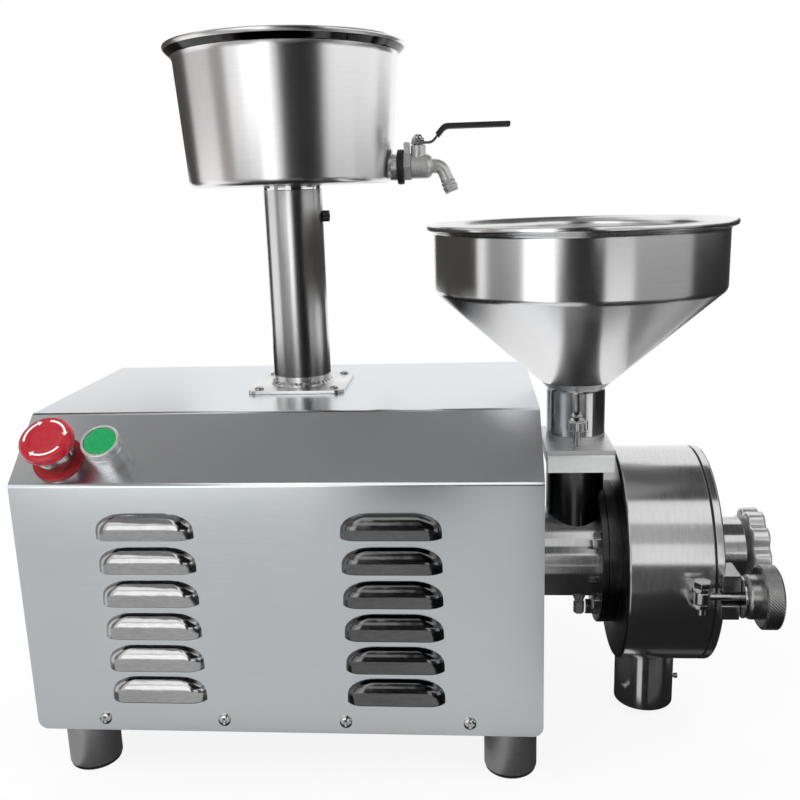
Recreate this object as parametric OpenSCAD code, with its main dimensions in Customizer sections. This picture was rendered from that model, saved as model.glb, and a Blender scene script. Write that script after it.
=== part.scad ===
// Electric grain mill: cabinet with the motor, grinding drum on the right,
// grain hopper over the feed, and a water tank with a tap on a mast.
// X runs along the cabinet, Y from front to back, Z up from the floor.

/* [Cabinet] */
// Cabinet width
cab_w = 410; // [300:1:600]
// Cabinet depth
cab_d = 251; // [180:1:400]
// Height of the upright front face
face_h = 209; // [150:1:320]
// Depth of the sloping control panel
slope_run = 53; // [30:1:90]
// Rise of the sloping control panel
slope_rise = 44; // [20:1:80]
// Sheet thickness of the cover
sheet_t = 1.5; // [1:0.1:3]
// Thickness of the base tray
tray_t = 2; // [1.5:0.1:4]
// Height of the tray's upturned flanges
flange_h = 20; // [12:1:40]
// Radius of the cover's bottom corners
corner_r = 8; // [2:0.5:20]
// Clear gap under the cabinet
foot_h = 56; // [20:1:100]
// Foot tube radius
foot_r = 22; // [10:0.5:35]
// Foot tube wall
foot_wall = 2.5; // [1.5:0.1:5]
// Foot centre from the cabinet side
foot_in_x = 24; // [20:0.5:80]
// Foot centre from the cabinet front and back
foot_in_y = 46; // [20:0.5:90]
// Rubber pad thickness
pad_t = 3; // [2:0.5:8]
// Cover screw head radius
screw_r = 5; // [3:0.1:8]
// Cover screw height above the cabinet bottom
screw_up = 10.7; // [6:0.1:20]
// Spacing of the cover screws along the front
screw_pitch = 98.4; // [60:0.1:140]

/* [Louvres] */
// Louvre width
louvre_w = 77.5; // [40:0.5:110]
// Louvre height
louvre_h = 20.5; // [10:0.5:26]
// Louvre bulge
louvre_b = 8; // [4:0.5:14]
// Louvre sheet thickness
louvre_t = 1.2; // [0.8:0.1:2]
// Spacing of the louvre rows
louvre_pitch = 27.5; // [22:0.5:40]
// Centre height of the lowest row above the cabinet bottom
louvre_z = 38.9; // [24:0.1:60]
// Number of rows
louvre_rows = 6; // [1:1:8]
// Centre of the left column
louvre_left = 104.5; // [70:0.5:140]
// Centre of the right column from the cabinet's right side
louvre_right = 115; // [60:0.5:180]

/* [Controls] */
// Emergency stop position along the panel
stop_x = 34.5; // [25:0.5:80]
// Emergency stop position up the slope
stop_up = 24; // [20:0.5:48]
// Emergency stop head radius
stop_r = 21.75; // [15:0.25:30]
// Height of the emergency stop above the panel
stop_top = 30; // [24:0.5:45]
// Thickness of the stop head
stop_head_t = 9.5; // [7:0.5:14]
// Radius of the stop's neck
stop_neck_r = 14.5; // [11:0.25:18]
// Height of the stop's neck above the panel
stop_neck_h = 20; // [14:0.5:30]
// Radius of the red disc under the stop
stop_disc_r = 20; // [15:0.5:35]
// Thickness of the red disc
stop_disc_t = 2; // [1:0.1:4]
// Travel of the stop head
stop_travel = 5; // [3:0.5:8]
// Start button position along the panel
start_x = 75; // [60:0.5:140]
// Start button position up the slope
start_up = 25; // [18:0.5:48]
// Start bezel radius
start_r = 14.75; // [11:0.25:20]
// Radius of the sleeve below the bezel
start_low_r = 13.75; // [10:0.25:19]
// Height of the start bezel above the panel
start_top = 24; // [8:0.5:34]
// Height of the sleeve below the bezel
start_low_h = 14; // [4:0.5:20]
// Start cap radius
start_cap_r = 12.5; // [8:0.25:16]
// Travel of the start cap
start_travel = 4; // [2:0.5:6]
// Radius of the threaded tails behind the panel
tail_r = 11; // [8:0.25:14]
// Length of the threaded tails
tail_h = 24; // [16:0.5:36]
// Radius of the button stems
stem_r = 6; // [3:0.25:7]
// Side of the switch block
block_w = 28; // [20:0.5:34]
// Length of the switch block
block_h = 24; // [16:0.5:40]

/* [Mast and tank] */
// Mast centre along the cabinet
mast_x = 205; // [150:0.5:260]
// Mast centre from the cabinet back
mast_back = 95.5; // [60:0.5:140]
// Mast radius
mast_r = 25.3; // [18:0.1:35]
// Mast tube wall
mast_wall = 1.8; // [1.2:0.1:4]
// Height of the mast top above the floor
mast_top = 480.7; // [400:0.1:600]
// Side of the mast plate
plate_w = 90; // [70:0.5:120]
// Thickness of the mast plate
plate_t = 3; // [2:0.5:6]
// Corner radius of the mast plate
plate_r = 8; // [2:0.5:15]
// Screw spacing of the mast plate
plate_pitch = 66; // [50:0.5:100]
// Length of the tank post inside the mast
post_len = 80; // [50:1:120]
// Thickness of the collar on the mast
collar_t = 3.8; // [2:0.1:10]
// Depth of the clamp screw below the mast top
clamp_down = 22.7; // [10:0.1:50]
// Height of the tank
tank_h = 113.2; // [80:0.1:180]
// Tank radius at the bottom
tank_low_r = 86.3; // [60:0.1:120]
// Tank radius below the flared rim
tank_high_r = 93.4; // [60:0.1:130]
// Tank rim radius
tank_rim_r = 100.8; // [65:0.1:140]
// Height of the flared rim
tank_rim_h = 10; // [4:0.5:20]
// Tank sheet thickness
tank_t = 0.8; // [0.6:0.1:2]
// Bottom corner radius of the tank
tank_corner = 6; // [3:0.5:12]
// Tap height above the tank bottom
tap_up = 12.4; // [10:0.1:30]

/* [Tap] */
// Tap body radius
tap_r = 10; // [7:0.1:14]
// Bore of the tap
tap_bore = 4.5; // [3:0.1:7]
// Thickness of the tap's rubber ring
tap_ring_t = 5.5; // [3:0.1:9]
// Radius of the tap's rubber ring
tap_ring_r = 14.5; // [11:0.1:20]
// Length of the ferrule on the tank wall
ferrule_t = 4.5; // [2:0.1:8]
// Length of the tap's hexagon
tap_hex_t = 6; // [4:0.1:10]
// Radius of the tap's hexagon over the corners
tap_hex_r = 12.7; // [9:0.1:18]
// Length of the tap's round body
tap_body_t = 17.5; // [12:0.1:30]
// Length of the tap's neck
tap_neck_t = 7; // [3:0.1:14]
// Radius of the tap's neck
tap_neck_r = 6; // [4:0.1:9]
// Radius of the hose tail
barb_r = 7; // [5:0.1:10]
// Length of the hose tail
barb_h = 18; // [10:0.1:30]
// Radius of the tap's stem housing
tap_stem_r = 4.55; // [3:0.05:7]
// Distance of the tap stem from the hexagon
tap_stem_x = 6.3; // [5:0.1:12]
// Height of the stem housing above the tap axis
tap_stem_h = 17.6; // [12:0.1:26]
// Lever width
lever_w = 12; // [8:0.1:16]
// Lever thickness
lever_t = 2.2; // [1.5:0.1:4]
// Length of the lever's flat end
lever_flat = 12.5; // [8:0.1:20]
// Run of the lever's rising part
lever_run = 11; // [6:0.1:20]
// Rise of the lever
lever_rise = 13; // [4:0.1:20]
// Length of the lever's grip
lever_grip = 53; // [30:0.5:80]
// Thickness of the grip sleeve
sleeve_t = 1.5; // [0.8:0.1:3]

/* [Hopper and gate] */
// Hopper centre beyond the cabinet's right side
hop_out = 38.5; // [30:0.5:70]
// Hopper rim radius
hop_rim_r = 128.75; // [90:0.25:160]
// Hopper cylinder radius
hop_r = 122.3; // [85:0.1:155]
// Hopper neck radius
neck_r = 25.4; // [20:0.1:40]
// Height of the hopper rim above the floor
hop_top = 449; // [400:0.5:520]
// Height of the hopper's lower cylinder edge
hop_cyl_z = 392; // [350:0.5:460]
// Height of the hopper's neck top
hop_neck_z = 306; // [285:0.5:340]
// Hopper sheet thickness
hop_t = 1.2; // [0.8:0.1:2]
// Width of the hopper's rim bead
bead_r = 3; // [2:0.1:5]
// Underside of the feed gate frame
gate_z = 248; // [230:0.5:270]
// Height of the feed gate frame
gate_h = 11; // [8:0.5:20]
// Width of the feed gate frame
gate_w = 58; // [54:0.5:80]
// Depth of the feed gate frame
gate_d = 83.5; // [60:0.5:110]
// Gate plate thickness
gate_t = 2.4; // [1.5:0.1:4]
// Gate plate width
slide_w = 49.6; // [40:0.1:60]
// Height of the gate's bent lip
lip_h = 15; // [8:0.5:25]
// Gate travel
gate_travel = 52; // [30:1:70]
// Height of the hopper's socket ring
socket_h = 6; // [4:0.5:15]
// Knurled gate screw radius
knob_r = 8.8; // [5:0.1:12]

/* [Drive line] */
// Mill axis from the cabinet back
mill_back = 103; // [80:0.5:140]
// Mill axis above the floor
mill_z = 152; // [130:0.5:200]
// Motor shaft's shoulder from the cabinet's right side
shaft_in = 166; // [140:0.5:200]
// Length of the fan cowl
cowl_h = 46; // [30:0.5:80]
// Motor casing radius
motor_r = 62; // [50:0.5:80]
// Height of the cooling fins
fin_h = 9; // [4:0.5:14]
// Length of the motor casing
casing_h = 104; // [80:0.5:160]
// Thickness of each end bell
bell_t = 14; // [8:0.5:20]
// Rotor radius
rotor_r = 42; // [30:0.5:52]
// Motor shaft radius
motor_shaft_r = 9.5; // [6:0.1:14]
// Coupling radius
coup_r = 27; // [18:0.5:34]
// Length of one coupling hub
coup_h = 24; // [16:0.5:34]
// Length of the coupling's jaws
jaw_h = 12; // [8:0.5:20]
// Mill shaft radius
shaft_r = 12.5; // [8:0.1:18]
// Bearing outer radius
bear_r = 26; // [18:0.1:32]
// Bearing width
bear_t = 15; // [8:0.5:22]
// Auger radius
auger_r = 32; // [24:0.5:40]
// Auger length
auger_h = 60; // [40:0.5:80]

/* [Grinding drum] */
// Spindle tube radius
tube_r = 41; // [34:0.5:50]
// Length of the spindle tube inside the cabinet
tube_in = 80; // [60:0.5:110]
// Left face of the flange beyond the cabinet's right side
flange_out = 56; // [40:0.5:80]
// Flange radius
flange_r = 64; // [55:0.5:80]
// Flange thickness
flange_t = 6; // [4:0.5:12]
// Radius of the flange bolt circle
bolt_circle_r = 56; // [48:0.5:70]
// Thickness of the boss behind the drum
boss_t = 9.6; // [4:0.1:20]
// Drum radius
drum_r = 95; // [70:0.5:130]
// Drum wall
drum_wall = 4; // [2.5:0.1:8]
// Drum depth
drum_h = 69.4; // [45:0.1:100]
// Drum back wall
drum_back = 6; // [3:0.5:12]
// Feed chamber bore radius
feed_r = 33; // [26:0.5:40]
// Door thickness
door_t = 8; // [5:0.5:14]
// Door hub radius
hub_r = 30; // [24:0.5:45]
// Height of the door hub
hub_h = 36.2; // [20:0.1:60]
// Adjusting knob radius
adj_r = 38; // [28:0.5:50]
// Number of lobes on the adjusting knob
adj_lobes = 10; // [4:1:16]
// Angle of the valley beside the knob's top, in degrees
adj_turn = -7; // [-45:1:45]
// Adjusting knob thickness
adj_t = 15.5; // [10:0.5:25]
// Gap between the hub and the adjusting knob
adj_gap = 3; // [1:0.5:8]
// Radius of the grinding discs
disc_r = 60; // [40:0.5:75]
// Thickness of a grinding disc
disc_t = 10; // [6:0.5:16]
// Travel of the adjustable disc
disc_travel = 3; // [1:0.5:5]
// Outlet spout radius
spout_r = 26.5; // [18:0.5:40]
// Outlet spout bore radius
spout_bore = 25; // [16:0.5:38]
// Outlet centre from the drum's back
spout_in = 33.4; // [28:0.1:45]
// Clear height under the outlet
spout_z = 5; // [2:0.5:40]
// Length of the outlet's bag pegs
peg_h = 5; // [3:0.5:10]
// Radius of the outlet's bag pegs
peg_r = 2.5; // [1.5:0.1:4]

/* [Door fittings] */
// Swing bolt pivot behind the door's face
bolt_in = 14.3; // [8:0.1:20]
// Swing bolt pivot in front of the drum
bolt_front = 13; // [10:0.5:20]
// Height of the swing bolt above the mill axis
bolt_up = 5; // [0:0.5:20]
// Swing bolt radius
bolt_r = 3; // [2:0.1:5]
// Swing bolt length
bolt_len = 57; // [45:0.5:80]
// Swing bolt eye radius
eye_r = 6.5; // [5:0.1:10]
// Swing bolt eye height
eye_h = 10; // [6:0.1:14]
// Thickness of the clevis plates
clevis_t = 3.5; // [2.5:0.1:6]
// Clamp nut boss radius
nut_r = 17.5; // [12:0.5:24]
// Clamp nut boss length
nut_h = 12; // [6:0.5:20]
// Clamp nut knurled flange radius
grip_r = 25.5; // [18:0.5:34]
// Clamp nut knurled flange length
grip_h = 17; // [8:0.5:24]
// Washer thickness
washer_t = 1.7; // [1:0.1:4]
// Thickness of the door lug in front of the door
lug_t = 6.7; // [4:0.1:12]
// Half height of the door lug
lug_w = 18.7; // [12:0.1:28]
// Slot half width of the door lug
slot_w = 4; // [3.2:0.1:7]
// Hinge pin behind the drum
hinge_back = 13; // [9:0.5:20]
// Hinge pin radius
hinge_r = 4; // [2.5:0.1:6]
// Hinge knuckle radius
knuckle_r = 8; // [6:0.1:12]
// Length of the door's hinge knuckle
knuckle_h = 17.4; // [10:0.1:30]
// Length of each knuckle on the drum
knuckle_out = 15; // [8:0.5:24]

/* [Fits] */
// Radial clearance of running fits
fit = 0.05; // [0.02:0.01:0.1]
// Gap between plates that slide on each other
gap = 0.3; // [0.1:0.05:0.6]
// Overrun of cutting bodies
over = 1; // [0.5:0.1:2]

/* [Hidden] */
$fn = 48;
theta = atan(slope_rise / slope_run);
cab_h = face_h + slope_rise;
top_z = foot_h + cab_h;
in_face = face_h + sheet_t * tan(theta) - sheet_t / cos(theta);
in_top = (cab_h - sheet_t - face_h + sheet_t / cos(theta)) / tan(theta);
plate_z = top_z + plate_t;
mast_y = cab_d - mast_back;
mill_y = cab_d - mill_back;
hop_x = cab_w + hop_out;
flange_x = cab_w + flange_out;
tube_x = cab_w - tube_in;
collar_z = mast_top + collar_t;
tank_z = collar_z + 2 * fit;
post_r = mast_r - mast_wall - 2 * fit;
tank_axis = tank_z + tap_up;
wall_low = tank_low_r + tank_corner * 0.06;
wall_share = (tap_up - tank_corner) / (tank_h - tank_rim_h - tank_corner);
wall_x = mast_x + wall_low + (tank_high_r - wall_low) * wall_share;
hex_x = wall_x + ferrule_t + tap_ring_t;
tap_end = hex_x + tap_hex_t + tap_body_t;
tap_stem = hex_x + tap_hex_t + tap_stem_x;
lever_z = tank_axis + tap_stem_h + fit * 10;
shaft_x = cab_w - shaft_in;
motor_x = shaft_x - bell_t - casing_h - cowl_h;
jaw_x = shaft_x + coup_h + jaw_h * 0.67;
jaw_end = jaw_x + jaw_h;
mill_x0 = jaw_end + jaw_h * 0.17;
seal_x = flange_x - tube_r * 1.22;
feed_x = seal_x + tube_r * 0.1;
drum_x = flange_x + flange_t + boss_t;
door_x = drum_x + drum_h + gap;
spout_x = drum_x + spout_in;
bolt_x = door_x - bolt_in;
bolt_y = mill_y - drum_r - bolt_front;
hinge_y = mill_y + drum_r + hinge_back;
hub_x = door_x + door_t + hub_h;
rotor_disc_x = drum_x + drum_back + disc_t * 0.84;
plate_gap = disc_travel + gap * 0.7;
fixed_x = rotor_disc_x + disc_t + disc_t * 0.2 + plate_gap;
mill_end = rotor_disc_x + disc_t * 1.2;
bolt_z = mill_z + bolt_up;
lug_x = door_x + door_t + lug_t;
washer_x = lug_x + gap;
nut_x = washer_x + washer_t;
gate_y = mill_y - gate_d * 0.52;
slot_z = gate_z + gate_h * 0.4;
gate_cx = hop_x;
screw_x = hop_x - gate_w * 0.04;
screw_y = gate_y + gate_d * 0.1;
gate_low = slot_z + gate_t * 1.04;
gland_r = tail_r;
gland_x = foot_in_x * 2.5;
gland_z = foot_h + cab_h * 0.16;
gland_h = tail_h * 0.6;
gland_bore = tail_r * 0.41;
right_end = hub_x + adj_gap + adj_t;
front_end = -(sin(theta) * (stop_top - stop_head_t * 0.12) + cos(theta) * (stop_r * 0.95 - stop_up));
back_end = max(hinge_y + knuckle_r, mill_y + hop_rim_r);
mid_x = right_end / 2;
mid_y = (front_end + back_end) / 2;
screw_shares = [-1.5, -0.5, 0.5, 1.5];

// Moves the machine so that its bounding box is centred over the origin.
module placed() {
    translate([-mid_x, -mid_y, 0]) children();
}

// A cylinder on a vertical axis between two heights.
module post(x, y, z0, z1, r) {
    translate([x, y, z0]) cylinder(h = z1 - z0, r = r);
}

// A cylinder on the mill axis between two stations.
module bar(x0, x1, r) {
    translate([x0, mill_y, mill_z]) rotate([0, 90, 0]) cylinder(h = x1 - x0, r = r);
}

// A tube on the mill axis between two stations.
module sleeve(x0, x1, r, bore) {
    difference() {
        bar(x0, x1, r);
        bar(x0 - over, x1 + over, bore);
    }
}

// Local Z points out of the sloping panel at a point on it.
module on_slope(x, up) {
    translate([x, up * cos(theta), foot_h + face_h + up * sin(theta)])
        rotate([theta, 0, 0]) children();
}

// Local Z points along X on the tap's axis.
module on_tap(x) {
    translate([x, mast_y, tank_axis]) rotate([0, 90, 0]) children();
}

// Carries a profile drawn in Y and Z along X.
module across(x0, x1) {
    translate([x0, 0, foot_h]) rotate([90, 0, 90]) linear_extrude(height = x1 - x0) children();
}

// A block between two corners.
module block(a, b) {
    translate(a) cube(b - a);
}

// A round ring standing on its own origin.
module ring(r, bore, h) {
    difference() {
        cylinder(h = h, r = r);
        translate([0, 0, -over]) cylinder(h = h + 2 * over, r = bore);
    }
}

// The four foot positions.
module at_feet() {
    for (x = [foot_in_x, cab_w - foot_in_x], y = [foot_in_y, cab_d - foot_in_y])
        translate([x, y, 0]) children();
}

// The cover screw positions, local Z pointing out of the sheet.
module at_cover_screws() {
    for (k = screw_shares) {
        translate([cab_w / 2 + k * screw_pitch, 0, foot_h + screw_up]) rotate([90, 0, 0]) children();
        translate([cab_w / 2 + k * screw_pitch, cab_d, foot_h + screw_up]) rotate([-90, 0, 0]) children();
    }
}

// The mast plate screw positions, local Z pointing up.
module at_plate_screws() {
    for (i = [-1, 1], j = [-1, 1])
        translate([mast_x + i * plate_pitch / 2, mast_y + j * plate_pitch / 2, plate_z]) children();
}

// The flange bolt positions, local Z pointing along X.
module at_flange_bolts() {
    for (a = [60:60:300])
        translate([flange_x, mill_y, mill_z]) rotate([a, 0, 0]) translate([0, 0, bolt_circle_r])
            rotate([0, 90, 0]) children();
}

// The louvre positions, at the lower left corner of each louvre.
module at_louvres() {
    for (x = [louvre_left, cab_w - louvre_right], i = [0 : louvre_rows - 1])
        translate([x - louvre_w / 2, 0, foot_h + louvre_z + i * louvre_pitch - louvre_h / 2]) children();
}

// A louvre's hood as a solid with sloping ends, shrunk by a sheet thickness.
module hood(t, back) {
    w = louvre_w - 2 * t;
    b = louvre_b - t;
    intersection() {
        translate([t, 0, 0]) rotate([90, 0, 90]) linear_extrude(height = w)
            polygon([[back, 0], [-b * 0.85, 0], [-b, louvre_h * 0.45 - t / 2], [0, louvre_h - t],
                [back, louvre_h - t]]);
        translate([t, 0, 0]) linear_extrude(height = louvre_h)
            polygon([[0, back], [0, 0], [louvre_b, -b], [w - louvre_b, -b], [w, 0], [w, back]]);
    }
}

module base_tray() {
    color([0.7, 0.71, 0.73]) placed() difference() {
        union() {
            block([sheet_t, sheet_t, foot_h], [cab_w - sheet_t, cab_d - sheet_t, foot_h + tray_t]);
            block([sheet_t, sheet_t, foot_h], [cab_w - sheet_t, sheet_t + tray_t, foot_h + flange_h]);
            block([sheet_t, cab_d - sheet_t - tray_t, foot_h],
                [cab_w - sheet_t, cab_d - sheet_t, foot_h + flange_h]);
            for (s = [0.2, 0.75])
                block([shaft_x - bell_t - casing_h * s - foot_in_x, mill_y - motor_r, foot_h],
                    [shaft_x - bell_t - casing_h * s, mill_y + motor_r, foot_h + flange_h / 2]);
        }
        at_cover_screws() translate([0, 0, -tail_h]) cylinder(h = 2 * tail_h, r = screw_r / 2 + fit);
        for (x = [0, cab_w]) translate([x, 0, foot_h])
            for (y = [0, cab_d]) translate([0, y, 0])
                cylinder(h = flange_h * 3, r = corner_r, center = true);
    }
}

module cover_outline() {
    polygon([[0, 0], [0, face_h], [slope_run, cab_h], [cab_d, cab_h], [cab_d, 0],
        [cab_d - sheet_t, 0], [cab_d - sheet_t, cab_h - sheet_t], [in_top, cab_h - sheet_t],
        [sheet_t, in_face], [sheet_t, 0]]);
}

// Cuts the two bottom corners of the front and back sheets round.
module corner_cut() {
    for (m = [0, 1]) translate([m * cab_w, 0, foot_h]) mirror([m, 0, 0])
        difference() {
            block([-over, -over, -over], [corner_r, cab_d + over, corner_r]);
            translate([corner_r, -2 * over, corner_r]) rotate([-90, 0, 0])
                cylinder(h = cab_d + 4 * over, r = corner_r);
        }
}

module cabinet_cover() {
    color([0.72, 0.73, 0.75]) placed() difference() {
        union() {
            across(0, cab_w) cover_outline();
            at_louvres() hood(0, sheet_t / 2);
        }
        at_louvres() translate([0, 0, -fit]) hood(louvre_t, sheet_t + over);
        corner_cut();
        at_cover_screws() translate([0, 0, -tail_h]) cylinder(h = 2 * tail_h, r = screw_r / 2 + gap);
        on_slope(stop_x, stop_up) translate([0, 0, -tail_h]) cylinder(h = 2 * tail_h, r = tail_r + gap);
        on_slope(start_x, start_up) translate([0, 0, -tail_h]) cylinder(h = 2 * tail_h, r = tail_r + gap);
        at_plate_screws() translate([0, 0, -tail_h]) cylinder(h = 2 * tail_h, r = screw_r / 2 + fit);
        translate([gland_x, cab_d - tail_h, gland_z]) rotate([-90, 0, 0])
            cylinder(h = 2 * tail_h, r = gland_r * 0.8 + gap);
    }
}

module end_outline() {
    polygon([[sheet_t, corner_r], [sheet_t, in_face], [in_top, cab_h - sheet_t],
        [cab_d - sheet_t, cab_h - sheet_t], [cab_d - sheet_t, corner_r]]);
}

module left_end_panel() {
    color([0.7, 0.71, 0.73]) placed() across(0, sheet_t) end_outline();
}

module right_end_panel() {
    color([0.7, 0.71, 0.73]) placed() difference() {
        across(cab_w - sheet_t, cab_w) end_outline();
        bar(cab_w - 2 * sheet_t, cab_w + sheet_t, tube_r + over);
    }
}

// A pan head screw whose head stands on its origin.
module pan_screw(head_r, shank) {
    cylinder(h = head_r * 0.3, r = head_r);
    translate([0, 0, head_r * 0.3]) cylinder(h = head_r * 0.25, r1 = head_r, r2 = head_r * 0.7);
    translate([0, 0, -shank]) cylinder(h = shank + fit, r = screw_r / 2);
}

module pan_screws() {
    color([0.8, 0.8, 0.82]) placed() {
        at_cover_screws() pan_screw(screw_r, flange_h / 2);
        at_plate_screws() pan_screw(screw_r * 0.8, flange_h / 2);
    }
}

module foot_tubes() {
    color([0.7, 0.71, 0.73]) placed() at_feet() translate([0, 0, pad_t])
        ring(foot_r, foot_r - foot_wall, foot_h - pad_t);
}

module foot_pads() {
    color([0.08, 0.08, 0.08]) placed() at_feet() {
        cylinder(h = pad_t, r = foot_r * 0.96);
        translate([0, 0, pad_t - fit]) cylinder(h = pad_t * 4, r = foot_r - foot_wall - fit);
    }
}

module cable_gland() {
    color([0.1, 0.1, 0.1]) placed() translate([gland_x, cab_d, gland_z]) rotate([-90, 0, 0]) difference() {
        union() {
            cylinder(h = gland_h * 0.35, r = gland_r, $fn = 6);
            cylinder(h = gland_h * 0.6, r = gland_r * 0.8);
            translate([0, 0, gland_h * 0.6 - fit])
                cylinder(h = gland_h * 0.3, r1 = gland_r * 0.85, r2 = gland_r * 0.75);
            translate([0, 0, -gland_h * 0.6]) cylinder(h = gland_h * 0.6 + fit, r = gland_r * 0.8);
            translate([0, 0, -gland_h * 0.4 - sheet_t]) cylinder(h = gland_h * 0.4, r = gland_r, $fn = 6);
        }
        translate([0, 0, -tail_h]) cylinder(h = 2 * tail_h, r = gland_bore);
    }
}

module estop_head() {
    color([0.8, 0.1, 0.12]) placed() on_slope(stop_x, stop_up) rotate_extrude()
        polygon([[stem_r + fit, stop_neck_h + stop_travel + gap],
            [stem_r + fit, stop_top - stop_head_t * 0.25], [0, stop_top - stop_head_t * 0.25],
            [0, stop_top - stop_head_t * 0.14],
            [stop_r * 0.55, stop_top - stop_head_t * 0.08], [stop_r * 0.72, stop_top],
            [stop_r * 0.85, stop_top], [stop_r * 0.95, stop_top - stop_head_t * 0.12],
            [stop_r, stop_top - stop_head_t * 0.35], [stop_r, stop_top - stop_head_t * 0.75],
            [stop_r * 0.95, stop_top - stop_head_t], [stop_neck_r + over, stop_top - stop_head_t],
            [stop_neck_r + over, stop_neck_h + stop_travel + gap]]);
}

module estop_stem() {
    color([0.3, 0.3, 0.3]) placed() on_slope(stop_x, stop_up) translate([0, 0, -tail_h * 0.7])
        cylinder(h = stop_top - stop_head_t * 0.25 + tail_h * 0.7 - fit, r = stem_r);
}

module estop_collar() {
    color([0.8, 0.8, 0.82]) placed() on_slope(stop_x, stop_up) difference() {
        union() {
            translate([0, 0, stop_disc_t]) cylinder(h = stop_neck_h - stop_disc_t, r = stop_neck_r);
            translate([0, 0, -tail_h]) cylinder(h = tail_h + stop_disc_t + fit, r = tail_r);
            translate([0, 0, -sheet_t - tail_h * 0.25])
                cylinder(h = tail_h * 0.25, r = tail_r * 1.4, $fn = 6);
        }
        translate([0, 0, -2 * tail_h]) cylinder(h = 4 * tail_h, r = stem_r + fit);
    }
}

module estop_backplate() {
    color([0.8, 0.1, 0.12]) placed() on_slope(stop_x, stop_up) translate([0, 0, fit])
        ring(stop_disc_r, tail_r + gap, stop_disc_t - fit);
}

module start_cap() {
    color([0.1, 0.62, 0.36]) placed() on_slope(start_x, start_up) {
        translate([0, 0, start_low_h + over]) cylinder(h = start_top - start_low_h - over, r = start_cap_r);
        translate([0, 0, -tail_h * 0.6]) cylinder(h = start_low_h + tail_h * 0.6 + 2 * over, r = stem_r);
    }
}

module start_bezel() {
    color([0.8, 0.8, 0.82]) placed() on_slope(start_x, start_up) difference() {
        union() {
            cylinder(h = start_low_h, r = start_low_r);
            translate([0, 0, start_low_h - fit]) cylinder(h = start_top - start_low_h + fit, r = start_r);
            translate([0, 0, -tail_h]) cylinder(h = tail_h + fit, r = tail_r);
            translate([0, 0, -sheet_t - tail_h * 0.25])
                cylinder(h = tail_h * 0.25, r = tail_r * 1.4, $fn = 6);
        }
        translate([0, 0, -2 * tail_h]) cylinder(h = 4 * tail_h, r = stem_r + fit);
        translate([0, 0, start_low_h + over - start_travel - gap])
            cylinder(h = start_top, r = start_cap_r + 2 * fit);
    }
}

module switch_blocks() {
    color([0.15, 0.15, 0.16]) placed() for (p = [[stop_x, stop_up], [start_x, start_up]])
        on_slope(p[0], p[1]) translate([0, 0, -tail_h - block_h / 2])
            cube([block_w, block_w, block_h], center = true);
}

module contactor() {
    color([0.25, 0.26, 0.27]) placed() {
        y = flange_h * 0.7;
        block([cab_w * 0.6, y, foot_h + tray_t], [cab_w * 0.72, cab_d * 0.26, foot_h + tray_t * 3]);
        block([cab_w * 0.61, y, foot_h + tray_t * 3], [cab_w * 0.71, cab_d * 0.24, foot_h + face_h * 0.36]);
        block([cab_w * 0.61, y + tray_t, foot_h + face_h * 0.35],
            [cab_w * 0.71, cab_d * 0.2, foot_h + face_h * 0.44]);
    }
}

module motor_casing() {
    x0 = motor_x + cowl_h;
    x1 = shaft_x - bell_t;
    color([0.35, 0.38, 0.42]) placed() difference() {
        union() {
            bar(x0, x1, motor_r);
            bar(x0 - bell_t, x0 + fit, motor_r - sheet_t - fit);
            bar(x1 - fit, shaft_x, motor_r * 0.9);
            for (a = [0:30:330])
                translate([x0, mill_y, mill_z]) rotate([a, 0, 0])
                    translate([casing_h * 0.05, -tray_t, motor_r * 0.9])
                        cube([casing_h * 0.9, tray_t * 2, motor_r * 0.1 + fin_h]);
            for (s = [0.2, 0.75]) translate([x1 - casing_h * s, mill_y, 0])
                block([-foot_in_x * 0.9, -motor_r * 0.8, foot_h + flange_h / 2],
                    [-foot_in_x * 0.1, motor_r * 0.8, mill_z - motor_r * 0.7]);
        }
        bar(x0 + fit, x1 - fit, rotor_r + over);
        bar(motor_x, shaft_x + over, motor_shaft_r + fit);
    }
}

module motor_cowl() {
    color([0.2, 0.2, 0.22]) placed() difference() {
        bar(motor_x, motor_x + cowl_h - fit, motor_r);
        bar(motor_x + sheet_t, motor_x + cowl_h + over, motor_r - sheet_t);
        for (a = [0:60:300], s = [0.35, 0.6, 0.82])
            translate([motor_x - over, mill_y, mill_z]) rotate([a + s * 30, 0, 0])
                translate([0, 0, motor_r * s]) rotate([0, 90, 0])
                    cylinder(h = sheet_t + 2 * over, r = motor_r * 0.09);
    }
}

module motor_fan() {
    color([0.1, 0.1, 0.1]) placed() difference() {
        union() {
            bar(motor_x + cowl_h * 0.3, motor_x + cowl_h - bell_t - 2 * gap, motor_shaft_r * 1.6);
            bar(motor_x + cowl_h * 0.58, motor_x + cowl_h * 0.63, motor_r * 0.8);
            for (a = [0:60:300]) translate([motor_x + cowl_h * 0.33, mill_y, mill_z]) rotate([a, 0, 0])
                translate([0, -sheet_t, motor_shaft_r * 1.3])
                    cube([cowl_h * 0.28, 2 * sheet_t, motor_r * 0.78 - motor_shaft_r * 1.3]);
        }
        bar(motor_x, motor_x + cowl_h, motor_shaft_r + fit);
    }
}

module motor_rotor() {
    color([0.6, 0.6, 0.62]) placed() {
        bar(motor_x + cowl_h * 0.25, shaft_x + coup_h * 1.2, motor_shaft_r);
        bar(motor_x + cowl_h + casing_h * 0.1, shaft_x - bell_t - casing_h * 0.1, rotor_r);
    }
}

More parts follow.
